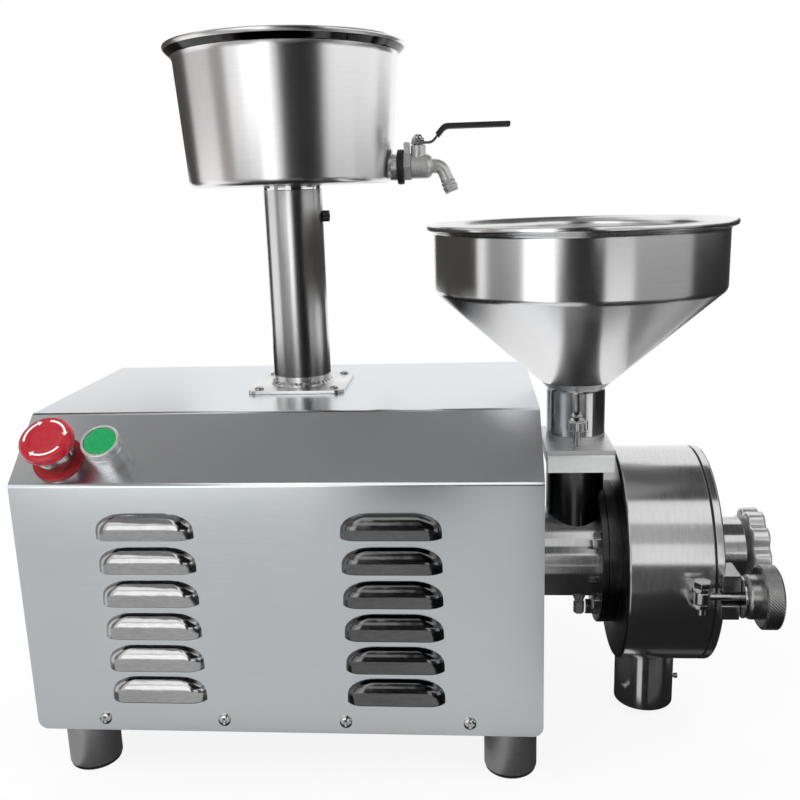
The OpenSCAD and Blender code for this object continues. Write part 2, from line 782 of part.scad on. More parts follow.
module capacitor() {
    z = mill_z + motor_r + fin_h * 1.2;
    color([0.7, 0.7, 0.72]) placed() {
        translate([motor_x + cowl_h, mill_y, z + foot_r * 0.9]) rotate([0, 90, 0])
            cylinder(h = casing_h * 0.6, r = foot_r * 0.9);
        block([motor_x + cowl_h, mill_y - foot_r * 0.7, mill_z + motor_r + fin_h],
            [motor_x + cowl_h + casing_h * 0.6, mill_y + foot_r * 0.7, z + foot_r * 0.3]);
    }
}

// Six radial legs of the coupling's spider.
module spider_legs(w, r) {
    for (a = [30:60:330]) translate([jaw_x, mill_y, mill_z]) rotate([a, 0, 0])
        translate([0, -w / 2, 0]) cube([jaw_h, w, r]);
}

// The three jaws of one coupling hub.
module jaws(turn) {
    difference() {
        sleeve(jaw_x - jaw_h * 0.1, jaw_end + jaw_h * 0.1, coup_r, coup_r * 0.45);
        translate([-over, 0, 0]) scale([1, 1, 1]) spider_cut();
        for (a = [60:120:300]) translate([jaw_x - coup_h, mill_y, mill_z]) rotate([a + turn * 60, 0, 0])
            linear_wedge();
    }
}

// Room for the spider's legs between the jaws.
module spider_cut() {
    for (a = [30:60:330]) translate([jaw_x - jaw_h, mill_y, mill_z]) rotate([a, 0, 0])
        translate([0, -coup_r * 0.09, 0]) cube([jaw_h * 4, coup_r * 0.18, coup_r * 2]);
}

// A sixty degree wedge around local Z.
module linear_wedge() {
    rotate([90, 0, 90]) linear_extrude(height = coup_h * 3)
        polygon([[0, 0], [-coup_r * 1.15, coup_r * 2], [coup_r * 1.15, coup_r * 2]]);
}

module coupling_hubs() {
    color([0.55, 0.55, 0.57]) placed() {
        difference() {
            union() {
                bar(jaw_x - coup_h, jaw_x - fit, coup_r);
                difference() {
                    jaws(0);
                    bar(jaw_end - fit, jaw_end + coup_h, coup_r * 2);
                }
            }
            bar(jaw_x - 2 * coup_h, jaw_x + fit, motor_shaft_r + fit);
        }
        difference() {
            union() {
                bar(jaw_end + fit, jaw_end + coup_h, coup_r);
                difference() {
                    jaws(1);
                    bar(jaw_x - coup_h, jaw_x + fit, coup_r * 2);
                }
            }
            bar(mill_x0 - fit, jaw_end + 2 * coup_h, shaft_r + fit);
        }
    }
}

module coupling_spider() {
    color([0.7, 0.15, 0.1]) placed() intersection() {
        union() {
            spider_legs(coup_r * 0.16, coup_r * 0.97);
            bar(jaw_x, jaw_end, coup_r * 0.42);
        }
        bar(jaw_x + fit, jaw_end - fit, coup_r * 0.95);
    }
}

module mill_shaft() {
    color([0.72, 0.72, 0.74]) placed() {
        bar(mill_x0, mill_end, shaft_r);
        bar(mill_end - disc_t * 0.2, mill_end + disc_t * 0.2, shaft_r);
        translate([feed_x + tube_r * 0.1, mill_y, mill_z]) rotate([0, 90, 0])
            linear_extrude(height = auger_h, twist = 400, slices = 20)
                translate([0, -shaft_r * 0.2]) square([auger_r, shaft_r * 0.4]);
    }
}

module mill_bearings() {
    color([0.8, 0.8, 0.82]) placed() for (x = [tube_x + bear_t * 0.4, seal_x - bear_t * 1.2]) difference() {
        sleeve(x, x + bear_t, bear_r, shaft_r + fit);
        sleeve(x - over, x + bear_t * 0.1, bear_r * 0.85, shaft_r * 1.3);
        sleeve(x + bear_t * 0.9, x + bear_t + over, bear_r * 0.85, shaft_r * 1.3);
    }
}

module shaft_seal() {
    color([0.1, 0.1, 0.1]) placed() sleeve(seal_x - bear_t * 0.15, seal_x - fit, bear_r, shaft_r + fit);
}

module spindle_housing() {
    color([0.75, 0.76, 0.78]) placed() difference() {
        union() {
            bar(tube_x, flange_x + fit, tube_r);
            bar(flange_x, flange_x + flange_t, flange_r);
        }
        bar(tube_x - over, seal_x, bear_r + fit);
        bar(tube_x - over, feed_x + over, shaft_r * 1.08);
        bar(feed_x, flange_x + flange_t + over, feed_r);
        difference() {
            post(hop_x, mill_y, mill_z, mill_z + tube_r * 2, neck_r - 2 * mast_wall);
            bar(flange_x, drum_x, flange_r * 2);
        }
        at_flange_bolts() translate([0, 0, -over])
            cylinder(h = flange_t + 2 * over, r = screw_r * 0.8 + 2 * fit);
        post(flange_x - flange_t * 2, mill_y, mill_z - tube_r * 2, mill_z, bolt_r + 2 * fit);
    }
}

module spindle_pedestal() {
    color([0.6, 0.61, 0.63]) placed() difference() {
        union() {
            block([tube_x + bear_t, mill_y - tube_r * 0.8, foot_h + tray_t],
                [cab_w - sheet_t * 8, mill_y + tube_r * 0.8, mill_z - tube_r * 0.6]);
            block([tube_x + bear_t * 0.5, mill_y - tube_r * 1.4, foot_h + tray_t],
                [cab_w - sheet_t * 6, mill_y + tube_r * 1.4, foot_h + tray_t * 4]);
        }
        bar(tube_x - over, cab_w + over, tube_r + 2 * fit);
    }
}

module hex_bolts() {
    color([0.8, 0.8, 0.82]) placed() at_flange_bolts() {
        translate([0, 0, -screw_r * 1.3]) cylinder(h = screw_r * 1.3, r = screw_r * 1.5, $fn = 6);
        translate([0, 0, -fit]) cylinder(h = flange_t + boss_t * 0.9, r = screw_r * 0.8);
    }
}

module feed_tube() {
    color([0.75, 0.76, 0.78]) placed() difference() {
        post(hop_x, mill_y, mill_z, gate_z, neck_r);
        post(hop_x, mill_y, mill_z - over, gate_z + over, neck_r - 2 * mast_wall);
        bar(cab_w, flange_x + flange_t, tube_r + fit);
        bar(flange_x - fit, drum_x, flange_r + gap);
    }
}

module drain_plug() {
    x = flange_x - flange_t * 2;
    color([0.8, 0.8, 0.82]) placed() {
        post(x, mill_y, mill_z - tube_r * 1.3, mill_z - feed_r * 1.05, bolt_r);
        translate([x, mill_y, mill_z - tube_r * 1.24])
            cylinder(h = tube_r * 0.22, r1 = bolt_r * 1.2, r2 = bolt_r * 2.4);
        translate([x, mill_y, mill_z - tube_r * 1.51])
            cylinder(h = tube_r * 0.28, r = bolt_r * 1.7, $fn = 6);
    }
}

module chamber_body() {
    f = drum_wall * 1.5;
    arm = knuckle_h / 2 + gap;
    color([0.75, 0.76, 0.78]) placed() difference() {
        union() {
            translate([0, mill_y, mill_z]) rotate([0, 90, 0]) rotate_extrude()
                polygon([[feed_r, drum_x - boss_t], [flange_r, drum_x - boss_t], [flange_r, drum_x],
                    [drum_r - f, drum_x], [drum_r - f * 0.3, drum_x + f * 0.3], [drum_r, drum_x + f],
                    [drum_r, drum_x + drum_h], [drum_r - drum_wall, drum_x + drum_h],
                    [drum_r - drum_wall, drum_x + drum_back], [feed_r, drum_x + drum_back]]);
            for (k = [-1, 1]) translate([0, 0, bolt_z + k * (eye_h + clevis_t + gap) / 2])
                translate([bolt_x, bolt_y, -clevis_t / 2]) {
                    cylinder(h = clevis_t, r = eye_r);
                    translate([-eye_r * 1.45, 0, 0])
                        cube([eye_r * 2.45, mill_y - drum_r + drum_wall * 0.4 - bolt_y, clevis_t]);
                }
            for (k = [-1, 1]) translate([0, 0, mill_z + k * (arm + knuckle_out / 2)]) {
                translate([door_x - gap, hinge_y, -knuckle_out / 2]) cylinder(h = knuckle_out, r = knuckle_r);
                translate([door_x - gap - knuckle_r * 2.2, mill_y + drum_r - drum_wall * 2, -knuckle_out / 2])
                    cube([knuckle_r * 2.2, hinge_y - mill_y - drum_r + drum_wall * 2, knuckle_out]);
            }
        }
        bar(drum_x + drum_back, door_x - gap + over, drum_r - drum_wall);
        at_flange_bolts() cylinder(h = flange_t + boss_t, r = screw_r * 0.8 + fit);
        post(spout_x, mill_y, mill_z - drum_r * 1.2, mill_z - drum_r * 0.5, spout_bore);
        post(bolt_x, bolt_y, bolt_z - eye_h * 3, bolt_z + eye_h * 3, bolt_r + fit);
        post(door_x - gap, hinge_y, mill_z - knuckle_out * 3, mill_z + knuckle_out * 3, hinge_r + fit);
    }
}

module outlet_spout() {
    color([0.75, 0.76, 0.78]) placed() difference() {
        union() {
            post(spout_x, mill_y, spout_z, mill_z - drum_r * 0.8, spout_r);
            for (a = [0:120:240]) translate([spout_x, mill_y, spout_z + spout_r * 0.8]) rotate([0, 0, a])
                translate([spout_bore + fit, 0, 0]) rotate([0, 90, 0])
                    cylinder(h = spout_r - spout_bore + peg_h, r = peg_r);
        }
        post(spout_x, mill_y, 0, mill_z, spout_bore);
        bar(drum_x - over, door_x + over, drum_r + fit);
    }
}

module pivot_pins() {
    head_z = mill_z + knuckle_h / 2 + knuckle_out + gap;
    clevis_z = bolt_z + eye_h / 2 + clevis_t + gap;
    color([0.8, 0.8, 0.82]) placed() {
        post(door_x - gap, hinge_y, mill_z - knuckle_h / 2 - knuckle_out * 1.1, head_z, hinge_r);
        post(door_x - gap, hinge_y, head_z, head_z - gap + knuckle_out * 0.25, knuckle_r * 0.8);
        post(bolt_x, bolt_y, bolt_z - eye_h / 2 - clevis_t * 3, clevis_z, bolt_r);
        translate([bolt_x, bolt_y, clevis_z - gap / 2])
            cylinder(h = clevis_t * 1.5, r = eye_r * 0.95, $fn = 6);
    }
}

module chamber_door() {
    color([0.75, 0.76, 0.78]) placed() difference() {
        union() {
            bar(door_x, door_x + door_t * 0.6, drum_r);
            translate([door_x + door_t * 0.6, mill_y, mill_z]) rotate([0, 90, 0])
                cylinder(h = door_t * 0.4, r1 = drum_r, r2 = drum_r - door_t * 0.4);
            bar(door_x + door_t - over, hub_x - over, hub_r);
            translate([hub_x - over, mill_y, mill_z]) rotate([0, 90, 0])
                cylinder(h = over, r1 = hub_r, r2 = hub_r - over);
            block([door_x, bolt_y - bolt_r, bolt_z - lug_w],
                [lug_x, bolt_y + nut_r * 1.4, bolt_z + lug_w]);
            translate([door_x - gap, hinge_y, mill_z - knuckle_h / 2]) cylinder(h = knuckle_h, r = knuckle_r);
            block([door_x, mill_y + drum_r * 0.9, mill_z - knuckle_h / 2],
                [door_x + door_t, hinge_y, mill_z + knuckle_h / 2]);
        }
        block([door_x - over, bolt_y - eye_r * 2, bolt_z - slot_w],
            [lug_x + over, bolt_y + slot_w, bolt_z + slot_w]);
        post(door_x - gap, hinge_y, mill_z - knuckle_h, mill_z + knuckle_h, hinge_r + fit);
        bar(door_x - over, hub_x - hub_h * 0.3, hub_r * 0.8 + fit);
        bar(door_x, hub_x + over, hub_r * 0.3 + fit);
        sleeve(door_x - over, door_x + door_t * 0.25, drum_r - drum_wall * 0.4, drum_r - drum_wall * 2);
    }
}

module door_gasket() {
    color([0.08, 0.08, 0.08]) placed()
        sleeve(door_x - gap * 0.7, door_x + door_t * 0.25,
            drum_r - drum_wall * 0.4 - fit, drum_r - drum_wall * 2 + fit);
}

module rotating_disc() {
    color([0.5, 0.5, 0.52]) placed() difference() {
        bar(rotor_disc_x, rotor_disc_x + disc_t, disc_r);
        bar(rotor_disc_x - over, rotor_disc_x + disc_t + over, shaft_r + fit);
        for (a = [0:90:270]) translate([rotor_disc_x - over, mill_y, mill_z]) rotate([a, 0, 0])
            translate([0, 0, disc_r * 0.4]) rotate([0, 90, 0])
                cylinder(h = disc_t + 2 * over, r = disc_r * 0.13);
        sleeve(rotor_disc_x + disc_t * 0.9, rotor_disc_x + disc_t + over, disc_r * 0.7, disc_r * 0.6);
    }
}

module fixed_disc() {
    color([0.5, 0.5, 0.52]) placed() difference() {
        sleeve(fixed_x, fixed_x + disc_t, disc_r, disc_r * 0.33);
        sleeve(fixed_x - over, fixed_x + disc_t * 0.1, disc_r * 0.7, disc_r * 0.6);
    }
}

module disc_carrier() {
    color([0.6, 0.61, 0.63]) placed() difference() {
        union() {
            bar(fixed_x + disc_t, fixed_x + disc_t * 1.6, disc_r * 0.95);
            bar(fixed_x + disc_t * 1.5, hub_x - hub_h * 0.45, hub_r * 0.8);
        }
        bar(hub_x - hub_h * 0.8, hub_x, hub_r * 0.3 + fit);
    }
}

module adjust_knob() {
    x = hub_x + adj_gap;
    color([0.8, 0.8, 0.82]) placed() difference() {
        union() {
            bar(x, x + adj_t, adj_r);
            bar(hub_x - hub_h * 0.62, x + fit, hub_r * 0.3);
        }
        for (i = [1:adj_lobes])
            translate([x - over, mill_y, mill_z]) rotate([adj_turn + i * 360 / adj_lobes, 0, 0])
                translate([0, 0, adj_r * 1.1]) rotate([0, 90, 0])
                    cylinder(h = adj_t + 2 * over, r = adj_r * 0.22);
    }
}

module swing_bolt() {
    color([0.8, 0.8, 0.82]) placed() difference() {
        union() {
            post(bolt_x, bolt_y, bolt_z - eye_h / 2, bolt_z + eye_h / 2, eye_r);
            translate([bolt_x, bolt_y, bolt_z]) rotate([0, 90, 0]) cylinder(h = bolt_len, r = bolt_r);
        }
        post(bolt_x, bolt_y, bolt_z - eye_h, bolt_z + eye_h, bolt_r + fit);
    }
}

// Local Z points along the swing bolt.
module on_bolt(x) {
    translate([x, bolt_y, bolt_z]) rotate([0, 90, 0]) children();
}

module clamp_nut() {
    color([0.75, 0.76, 0.78]) placed() on_bolt(nut_x) difference() {
        union() {
            cylinder(h = nut_h, r = nut_r);
            translate([0, 0, nut_h]) cylinder(h = grip_h * 0.1, r1 = grip_r * 0.93, r2 = grip_r);
            translate([0, 0, nut_h + grip_h * 0.1]) cylinder(h = grip_h * 0.8, r = grip_r);
            translate([0, 0, nut_h + grip_h * 0.9])
                cylinder(h = grip_h * 0.1, r1 = grip_r, r2 = grip_r * 0.93);
        }
        translate([0, 0, -over]) cylinder(h = nut_h + grip_h + 2 * over, r = bolt_r + fit);
    }
}

module clamp_washer() {
    color([0.8, 0.8, 0.82]) placed() on_bolt(washer_x) ring(nut_r * 0.95, bolt_r + 2 * fit, washer_t);
}

module gate_frame() {
    color([0.75, 0.76, 0.78]) placed() difference() {
        union() {
            block([gate_cx - gate_w / 2, gate_y, gate_z],
                [gate_cx + gate_w / 2, gate_y + gate_d, gate_z + gate_h]);
            post(hop_x, mill_y, gate_z + gate_h - fit, gate_z + gate_h + socket_h, neck_r);
        }
        block([gate_cx - slide_w / 2 - 4 * fit, gate_y - over, slot_z - 2 * fit],
            [gate_cx + slide_w / 2 + 4 * fit, gate_y + gate_d * 0.93, slot_z + gate_t + 2 * fit]);
        post(hop_x, mill_y, gate_z - over, slot_z + gate_h, neck_r - 2 * mast_wall);
        post(hop_x, mill_y, gate_z + gate_h, gate_z + gate_h + socket_h + over, neck_r - mast_wall * 0.8);
        post(screw_x, screw_y, slot_z + gate_t, gate_z + gate_h + over, bolt_r + fit);
    }
}

module gate_slide() {
    color([0.82, 0.83, 0.85]) placed() {
        block([gate_cx - slide_w / 2, gate_y - gate_t, slot_z],
            [gate_cx + slide_w / 2, gate_y + gate_d * 0.9, slot_z + gate_t]);
        block([gate_cx - gate_w / 2 + over, gate_y - gate_t - gap, slot_z + gate_t * 1.2 - lip_h],
            [gate_cx + gate_w / 2 - over, gate_y - gap, slot_z + gate_t * 1.2]);
    }
}

module gate_screw() {
    z = gate_z + gate_h;
    color([0.8, 0.8, 0.82]) placed() {
        post(screw_x, screw_y, slot_z + gate_t + gap * 0.7, z + knob_r * 1.8, bolt_r);
        post(screw_x, screw_y, z + knob_r * 1.7, z + knob_r * 2.9, knob_r);
    }
}

module hopper() {
    z0 = gate_z + gate_h;
    zs = z0 + socket_h;
    dz = hop_t * 0.5;
    color([0.78, 0.79, 0.8]) placed() translate([hop_x, mill_y, 0]) rotate_extrude()
        polygon([[neck_r - hop_t * 2, z0 + gap], [neck_r - mast_wall * 0.8 - fit, z0 + gap],
            [neck_r - mast_wall * 0.8 - fit, zs], [neck_r, zs], [neck_r, hop_neck_z], [hop_r, hop_cyl_z],
            [hop_r, hop_top - bead_r * 2], [hop_rim_r - bead_r * 0.5, hop_top - bead_r * 1.6],
            [hop_rim_r, hop_top - bead_r * 0.8], [hop_rim_r - bead_r * 0.6, hop_top], [hop_r, hop_top],
            [hop_r - hop_t, hop_top - bead_r * 0.3], [hop_r - hop_t, hop_cyl_z + dz],
            [neck_r - hop_t, hop_neck_z + dz], [neck_r - hop_t * 2, hop_neck_z]]);
}

module mast() {
    color([0.78, 0.79, 0.8]) placed() difference() {
        union() {
            post(mast_x, mast_y, plate_z - fit, mast_top, mast_r);
            translate([mast_x, mast_y, plate_z - fit])
                cylinder(h = mast_wall * 2, r1 = mast_r + mast_wall * 2, r2 = mast_r);
            translate([mast_x, mast_y, top_z]) linear_extrude(height = plate_t) difference() {
                square([plate_w, plate_w], center = true);
                for (i = [-1, 1], j = [-1, 1])
                    translate([i * (plate_w / 2 - plate_r), j * (plate_w / 2 - plate_r)]) difference() {
                        translate([i * plate_r / 2, j * plate_r / 2])
                            square([plate_r + fit, plate_r + fit], center = true);
                        circle(r = plate_r);
                    }
            }
        }
        post(mast_x, mast_y, top_z - over, mast_top + over, mast_r - mast_wall);
        at_plate_screws() translate([0, 0, -tail_h]) cylinder(h = 2 * tail_h, r = screw_r / 2 + fit);
        translate([mast_x, mast_y, mast_top - clamp_down]) rotate([0, 90, 0])
            cylinder(h = mast_r * 2, r = bolt_r + fit);
    }
}

module mast_collar() {
    color([0.8, 0.8, 0.82]) placed() translate([mast_x, mast_y, mast_top]) difference() {
        ring(mast_r, post_r + fit, collar_t);
        for (a = [45:90:315]) rotate([0, 0, a]) translate([mast_r * 0.97, -collar_t / 2, collar_t * 0.5])
            cube([mast_r * 0.2, collar_t, collar_t]);
    }
}

module mast_clamp_screw() {
    color([0.1, 0.1, 0.1]) placed() translate([mast_x, mast_y, mast_top - clamp_down]) rotate([0, 90, 0]) {
        translate([0, 0, post_r + gap]) cylinder(h = mast_r * 1.05 - post_r - gap, r = bolt_r);
        translate([0, 0, mast_r + fit]) cylinder(h = mast_r * 0.22, r = bolt_r * 1.6);
    }
}

// The inside of the tank's wall up to its rim, from the axis, kept clear of the wall by g.
function tank_inside(g) = let (c = tank_corner, t = tank_t + g) [[0, tank_z + t],
    [tank_low_r - c, tank_z + t], [tank_low_r - (c + t) / 2, tank_z + c * 0.13 + t * 0.87],
    [tank_low_r - c * 0.13 - t * 0.87, tank_z + (c + t) / 2], [wall_low - t, tank_z + c],
    [tank_high_r - t, tank_z + tank_h - tank_rim_h]];

module tank_bowl() {
    z1 = tank_z + tank_h - tank_rim_h;
    z2 = tank_z + tank_h;
    c = tank_corner;
    color([0.82, 0.83, 0.85]) placed() difference() {
        union() {
            translate([mast_x, mast_y, 0]) rotate_extrude() difference() {
                polygon([[0, tank_z], [tank_low_r - c, tank_z], [tank_low_r - c * 0.5, tank_z + c * 0.13],
                    [tank_low_r - c * 0.13, tank_z + c * 0.5], [wall_low, tank_z + c],
                    [tank_high_r, z1], [tank_rim_r - c * 0.2, z2 - c * 0.4], [tank_rim_r, z2 - c * 0.3],
                    [tank_rim_r, z2 - c * 0.1], [tank_rim_r - c * 0.2, z2], [0, z2]]);
                polygon(concat(tank_inside(0), [[tank_rim_r - c * 0.4, z2 - c * 0.1],
                    [tank_rim_r - c * 0.4, z2 + over], [0, z2 + over]]));
            }
            difference() {
                on_tap(wall_x - tank_t * 0.5) cylinder(h = ferrule_t + tank_t * 0.5, r = tap_r * 1.15);
                translate([mast_x, mast_y, 0]) rotate_extrude()
                    polygon([[0, tank_z], [tank_low_r - c, tank_z], [wall_low - tank_t / 2, tank_z + c],
                        [tank_high_r - tank_t / 2, z1], [0, z1]]);
            }
        }
        on_tap(wall_x - tank_t * 9) cylinder(h = ferrule_t + tank_t * 11, r = tap_r + fit);
    }
}

module tank_post() {
    color([0.75, 0.76, 0.78]) placed() difference() {
        post(mast_x, mast_y, tank_z - post_len, tank_z, post_r);
        post(mast_x, mast_y, tank_z - post_len - over, tank_z - collar_t, post_r - mast_wall);
    }
}

module tap_gasket() {
    color([0.08, 0.08, 0.08]) placed() on_tap(wall_x + ferrule_t) ring(tap_ring_r, tap_r + fit, tap_ring_t);
}

module tap_locknut() {
    color([0.8, 0.7, 0.4]) placed() intersection() {
        on_tap(wall_x - tap_hex_t * 1.8)
            ring(tank_axis - tank_z - tank_t - gap, tap_r + fit, tap_hex_t * 1.8);
        translate([mast_x, mast_y, 0]) rotate_extrude()
            polygon(concat(tank_inside(gap), [[0, tank_z + tank_h - tank_rim_h]]));
    }
}

module tap_body() {
    elbow = tap_end + tap_neck_t;
    color([0.8, 0.8, 0.82]) placed() difference() {
        union() {
            on_tap(wall_x - tap_hex_t * 2.1)
                cylinder(h = hex_x - wall_x + tap_hex_t * 2.1 + fit, r = tap_r);
            on_tap(hex_x) cylinder(h = tap_hex_t, r = tap_hex_r, $fn = 6);
            on_tap(hex_x + tap_hex_t - fit) cylinder(h = tap_body_t * 0.87 + fit, r = tap_r);
            on_tap(hex_x + tap_hex_t + tap_body_t * 0.87 - fit)
                cylinder(h = tap_body_t * 0.13 + fit, r1 = tap_r, r2 = tap_r * 0.8);
            on_tap(tap_end - fit) cylinder(h = tap_neck_t + fit, r = tap_neck_r);
            translate([elbow, mast_y, tank_axis]) sphere(r = tap_neck_r);
            translate([elbow, mast_y, tank_axis]) rotate([0, 150, 0]) {
                cylinder(h = barb_h, r = tap_neck_r * 0.9);
                for (k = [0.3, 0.5, 0.7]) translate([0, 0, barb_h * k])
                    cylinder(h = barb_h * 0.2, r1 = barb_r, r2 = tap_neck_r * 0.9);
                translate([0, 0, barb_h * 0.85])
                    cylinder(h = barb_h * 0.35, r1 = barb_r, r2 = barb_r * 0.85);
            }
            post(tap_stem, mast_y, tank_axis + tap_r * 0.5, tank_axis + tap_stem_h, tap_stem_r * 1.4);
            block([hex_x + fit, mast_y - tap_r * 0.5, tank_axis + tap_r * 0.8],
                [tap_stem - lever_w / 2 - gap, mast_y + tap_r * 0.5, lever_z + tap_r * 0.2]);
        }
        on_tap(wall_x - tap_hex_t * 3) cylinder(h = elbow - wall_x + tap_hex_t * 3, r = tap_bore);
        translate([elbow, mast_y, tank_axis]) rotate([0, 150, 0])
            cylinder(h = barb_h * 2, r = tap_bore * 0.8);
        post(tap_stem, mast_y, tank_axis, tank_axis + tap_stem_h + over, tap_stem_r * 0.8 + fit);
        translate([tap_stem, mast_y, tank_axis]) sphere(r = tap_r * 0.75 + 2 * fit);
    }
}

module tap_stem_part() {
    color([0.8, 0.8, 0.82]) placed() difference() {
        union() {
            translate([tap_stem, mast_y, tank_axis]) sphere(r = tap_r * 0.75);
            post(tap_stem, mast_y, tank_axis, lever_z, tap_stem_r * 0.8);
            post(tap_stem, mast_y, lever_z - fit, lever_z + lever_t * 2.6, tap_stem_r * 0.6);
        }
        on_tap(tap_stem - tap_r) cylinder(h = 2 * tap_r, r = tap_bore);
    }
}

// The lever's path seen from the side, widened by a sleeve thickness.
module lever_path(s) {
    polygon([[lever_flat, -s], [lever_flat + lever_run, lever_rise - s],
        [lever_flat + lever_run + lever_grip + s, lever_rise - s],
        [lever_flat + lever_run + lever_grip + s, lever_rise + lever_t + s],
        [lever_flat + lever_run - lever_t * 0.5 - s * 0.5, lever_rise + lever_t + s],
        [lever_flat - lever_t * 0.5 - s * 0.5, lever_t + s]]);
}

module tap_lever() {
    color([0.8, 0.8, 0.82]) placed() translate([tap_stem, mast_y, lever_z]) difference() {
        union() {
            cylinder(h = lever_t, r = lever_w / 2);
            translate([0, -lever_w / 2, 0]) cube([lever_flat, lever_w, lever_t]);
            rotate([90, 0, 0]) linear_extrude(height = lever_w, center = true) lever_path(0);
        }
        translate([0, 0, -over]) cylinder(h = lever_t + 2 * over, r = tap_stem_r * 0.6 + fit);
    }
}

module tap_sleeve() {
    color([0.08, 0.08, 0.08]) placed() translate([tap_stem, mast_y, lever_z]) intersection() {
        difference() {
            rotate([90, 0, 0]) linear_extrude(height = lever_w + 2 * sleeve_t, center = true)
                lever_path(sleeve_t);
            rotate([90, 0, 0]) linear_extrude(height = lever_w + 2 * fit, center = true) lever_path(fit);
        }
        translate([lever_flat + lever_run * 0.45, -lever_w, -lever_w])
            cube([lever_grip * 2, lever_w * 2, lever_w * 4]);
    }
}

module tap_nut() {
    r = tap_stem_r * 1.2;
    color([0.8, 0.8, 0.82]) placed() translate([tap_stem, mast_y, lever_z + lever_t]) difference() {
        union() {
            cylinder(h = lever_t * 1.4, r = r, $fn = 6);
            translate([0, 0, lever_t * 1.4 - fit]) cylinder(h = lever_t * 0.7, r = r * 0.8);
            translate([0, 0, lever_t * 2.1 - 2 * fit])
                cylinder(h = lever_t * 0.9, r1 = r * 0.8, r2 = r * 0.45);
        }
        translate([0, 0, -over]) cylinder(h = lever_t * 1.7 + over, r = tap_stem_r * 0.6 + fit);
    }
}

base_tray();
cabinet_cover();
left_end_panel();
right_end_panel();
pan_screws();
foot_tubes();
foot_pads();
cable_gland();
estop_head();
estop_stem();
estop_collar();
estop_backplate();
start_cap();
start_bezel();
switch_blocks();
contactor();
motor_casing();
motor_cowl();
motor_fan();
motor_rotor();
capacitor();
coupling_hubs();
coupling_spider();
mill_shaft();
mill_bearings();
shaft_seal();
spindle_housing();
spindle_pedestal();
hex_bolts();
feed_tube();
drain_plug();
chamber_body();
outlet_spout();
pivot_pins();
chamber_door();
door_gasket();
rotating_disc();
fixed_disc();
disc_carrier();
adjust_knob();
swing_bolt();
clamp_nut();
clamp_washer();
gate_frame();
gate_slide();
gate_screw();
hopper();
mast();
mast_collar();
mast_clamp_screw();
tank_bowl();
tank_post();
tap_gasket();
tap_locknut();
tap_body();
tap_stem_part();
tap_lever();
tap_sleeve();
tap_nut();
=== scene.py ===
import math

import bmesh
import bpy
from mathutils import Matrix, Vector


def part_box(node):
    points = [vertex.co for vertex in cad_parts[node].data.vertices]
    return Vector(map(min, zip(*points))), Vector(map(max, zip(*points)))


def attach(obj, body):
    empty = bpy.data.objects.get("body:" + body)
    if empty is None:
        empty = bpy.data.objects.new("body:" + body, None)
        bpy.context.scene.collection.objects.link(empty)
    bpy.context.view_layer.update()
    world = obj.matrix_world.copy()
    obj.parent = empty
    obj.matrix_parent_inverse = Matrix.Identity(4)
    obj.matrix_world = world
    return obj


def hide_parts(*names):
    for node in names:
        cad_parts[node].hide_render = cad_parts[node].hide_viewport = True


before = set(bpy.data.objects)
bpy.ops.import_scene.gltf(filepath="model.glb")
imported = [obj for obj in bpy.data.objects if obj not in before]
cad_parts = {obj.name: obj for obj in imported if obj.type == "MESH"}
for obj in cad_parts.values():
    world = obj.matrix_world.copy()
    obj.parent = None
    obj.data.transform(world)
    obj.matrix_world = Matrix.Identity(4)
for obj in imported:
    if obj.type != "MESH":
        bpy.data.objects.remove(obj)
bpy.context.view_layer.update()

# Where the machine stands. Sizes below are in millimetres, measured from the
# cabinet's front left edge at floor level, with X along the front, Y to the
# back and Z up; the left end panel's corner ties them to the frame.
LEFT_PANEL_SETBACK = 1.5
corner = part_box("left_end_panel")[0]
ORIGIN = Vector((corner.x * 1000, corner.y * 1000 - LEFT_PANEL_SETBACK, 0))
MILL_Y, MILL_Z = 148, 152
MAST_X, MAST_Y = 205, 155.5


def spot(x, y, z):
    """A place on the machine, from millimetres to the frame's metres."""
    return (ORIGIN + Vector((x, y, z))) / 1000


def add_object(name, data):
    """Puts an object made of some data into the scene."""
    made = bpy.data.objects.new(name, data)
    bpy.context.scene.collection.objects.link(made)
    return made


# Camera: a long lens a little above the cabinet's top, right of its middle,
# turned slightly left. Its place was solved from the cabinet's corners.
LENS, SENSOR = 40.567, 36
YAW, PITCH, ROLL = -4.656, 12.942, -1.746
yaw, pitch, roll = (math.radians(a) for a in (YAW, PITCH, ROLL))
ahead = Vector((math.sin(yaw) * math.cos(pitch), math.cos(yaw) * math.cos(pitch), -math.sin(pitch)))
level = Vector((math.cos(yaw), -math.sin(yaw), 0))
upward = level.cross(ahead)
right = level * math.cos(roll) + upward * math.sin(roll)
upward = right.cross(ahead)
camera = add_object("camera", bpy.data.cameras.new("camera"))
camera.data.lens, camera.data.sensor_width = LENS, SENSOR
camera.matrix_world = Matrix((right, upward, -ahead)).transposed().to_4x4()
camera.location = spot(356.906, -636.262, 475.693)
bpy.context.scene.camera = camera
bpy.context.scene.view_settings.view_transform = "Standard"


def colour(hex_code):
    """An sRGB hex colour as linear red, green, blue and alpha."""
    parts = [int(hex_code[i:i + 2], 16) / 255 for i in (0, 2, 4)]
    return [c / 12.92 if c <= 0.04045 else ((c + 0.055) / 1.055) ** 2.4 for c in parts] + [1]


def add_node(tree, kind, settings=None, inputs=None):
    """Adds a node with its settings; an input takes a value or another node's output."""
    n = tree.nodes.new(kind)
    for key, value in (settings or {}).items():
        setattr(n, key, value)
    for key, value in (inputs or {}).items():
        if isinstance(value, bpy.types.NodeSocket):
            tree.links.new(value, n.inputs[key])
        else:
            n.inputs[key].default_value = value
    return n


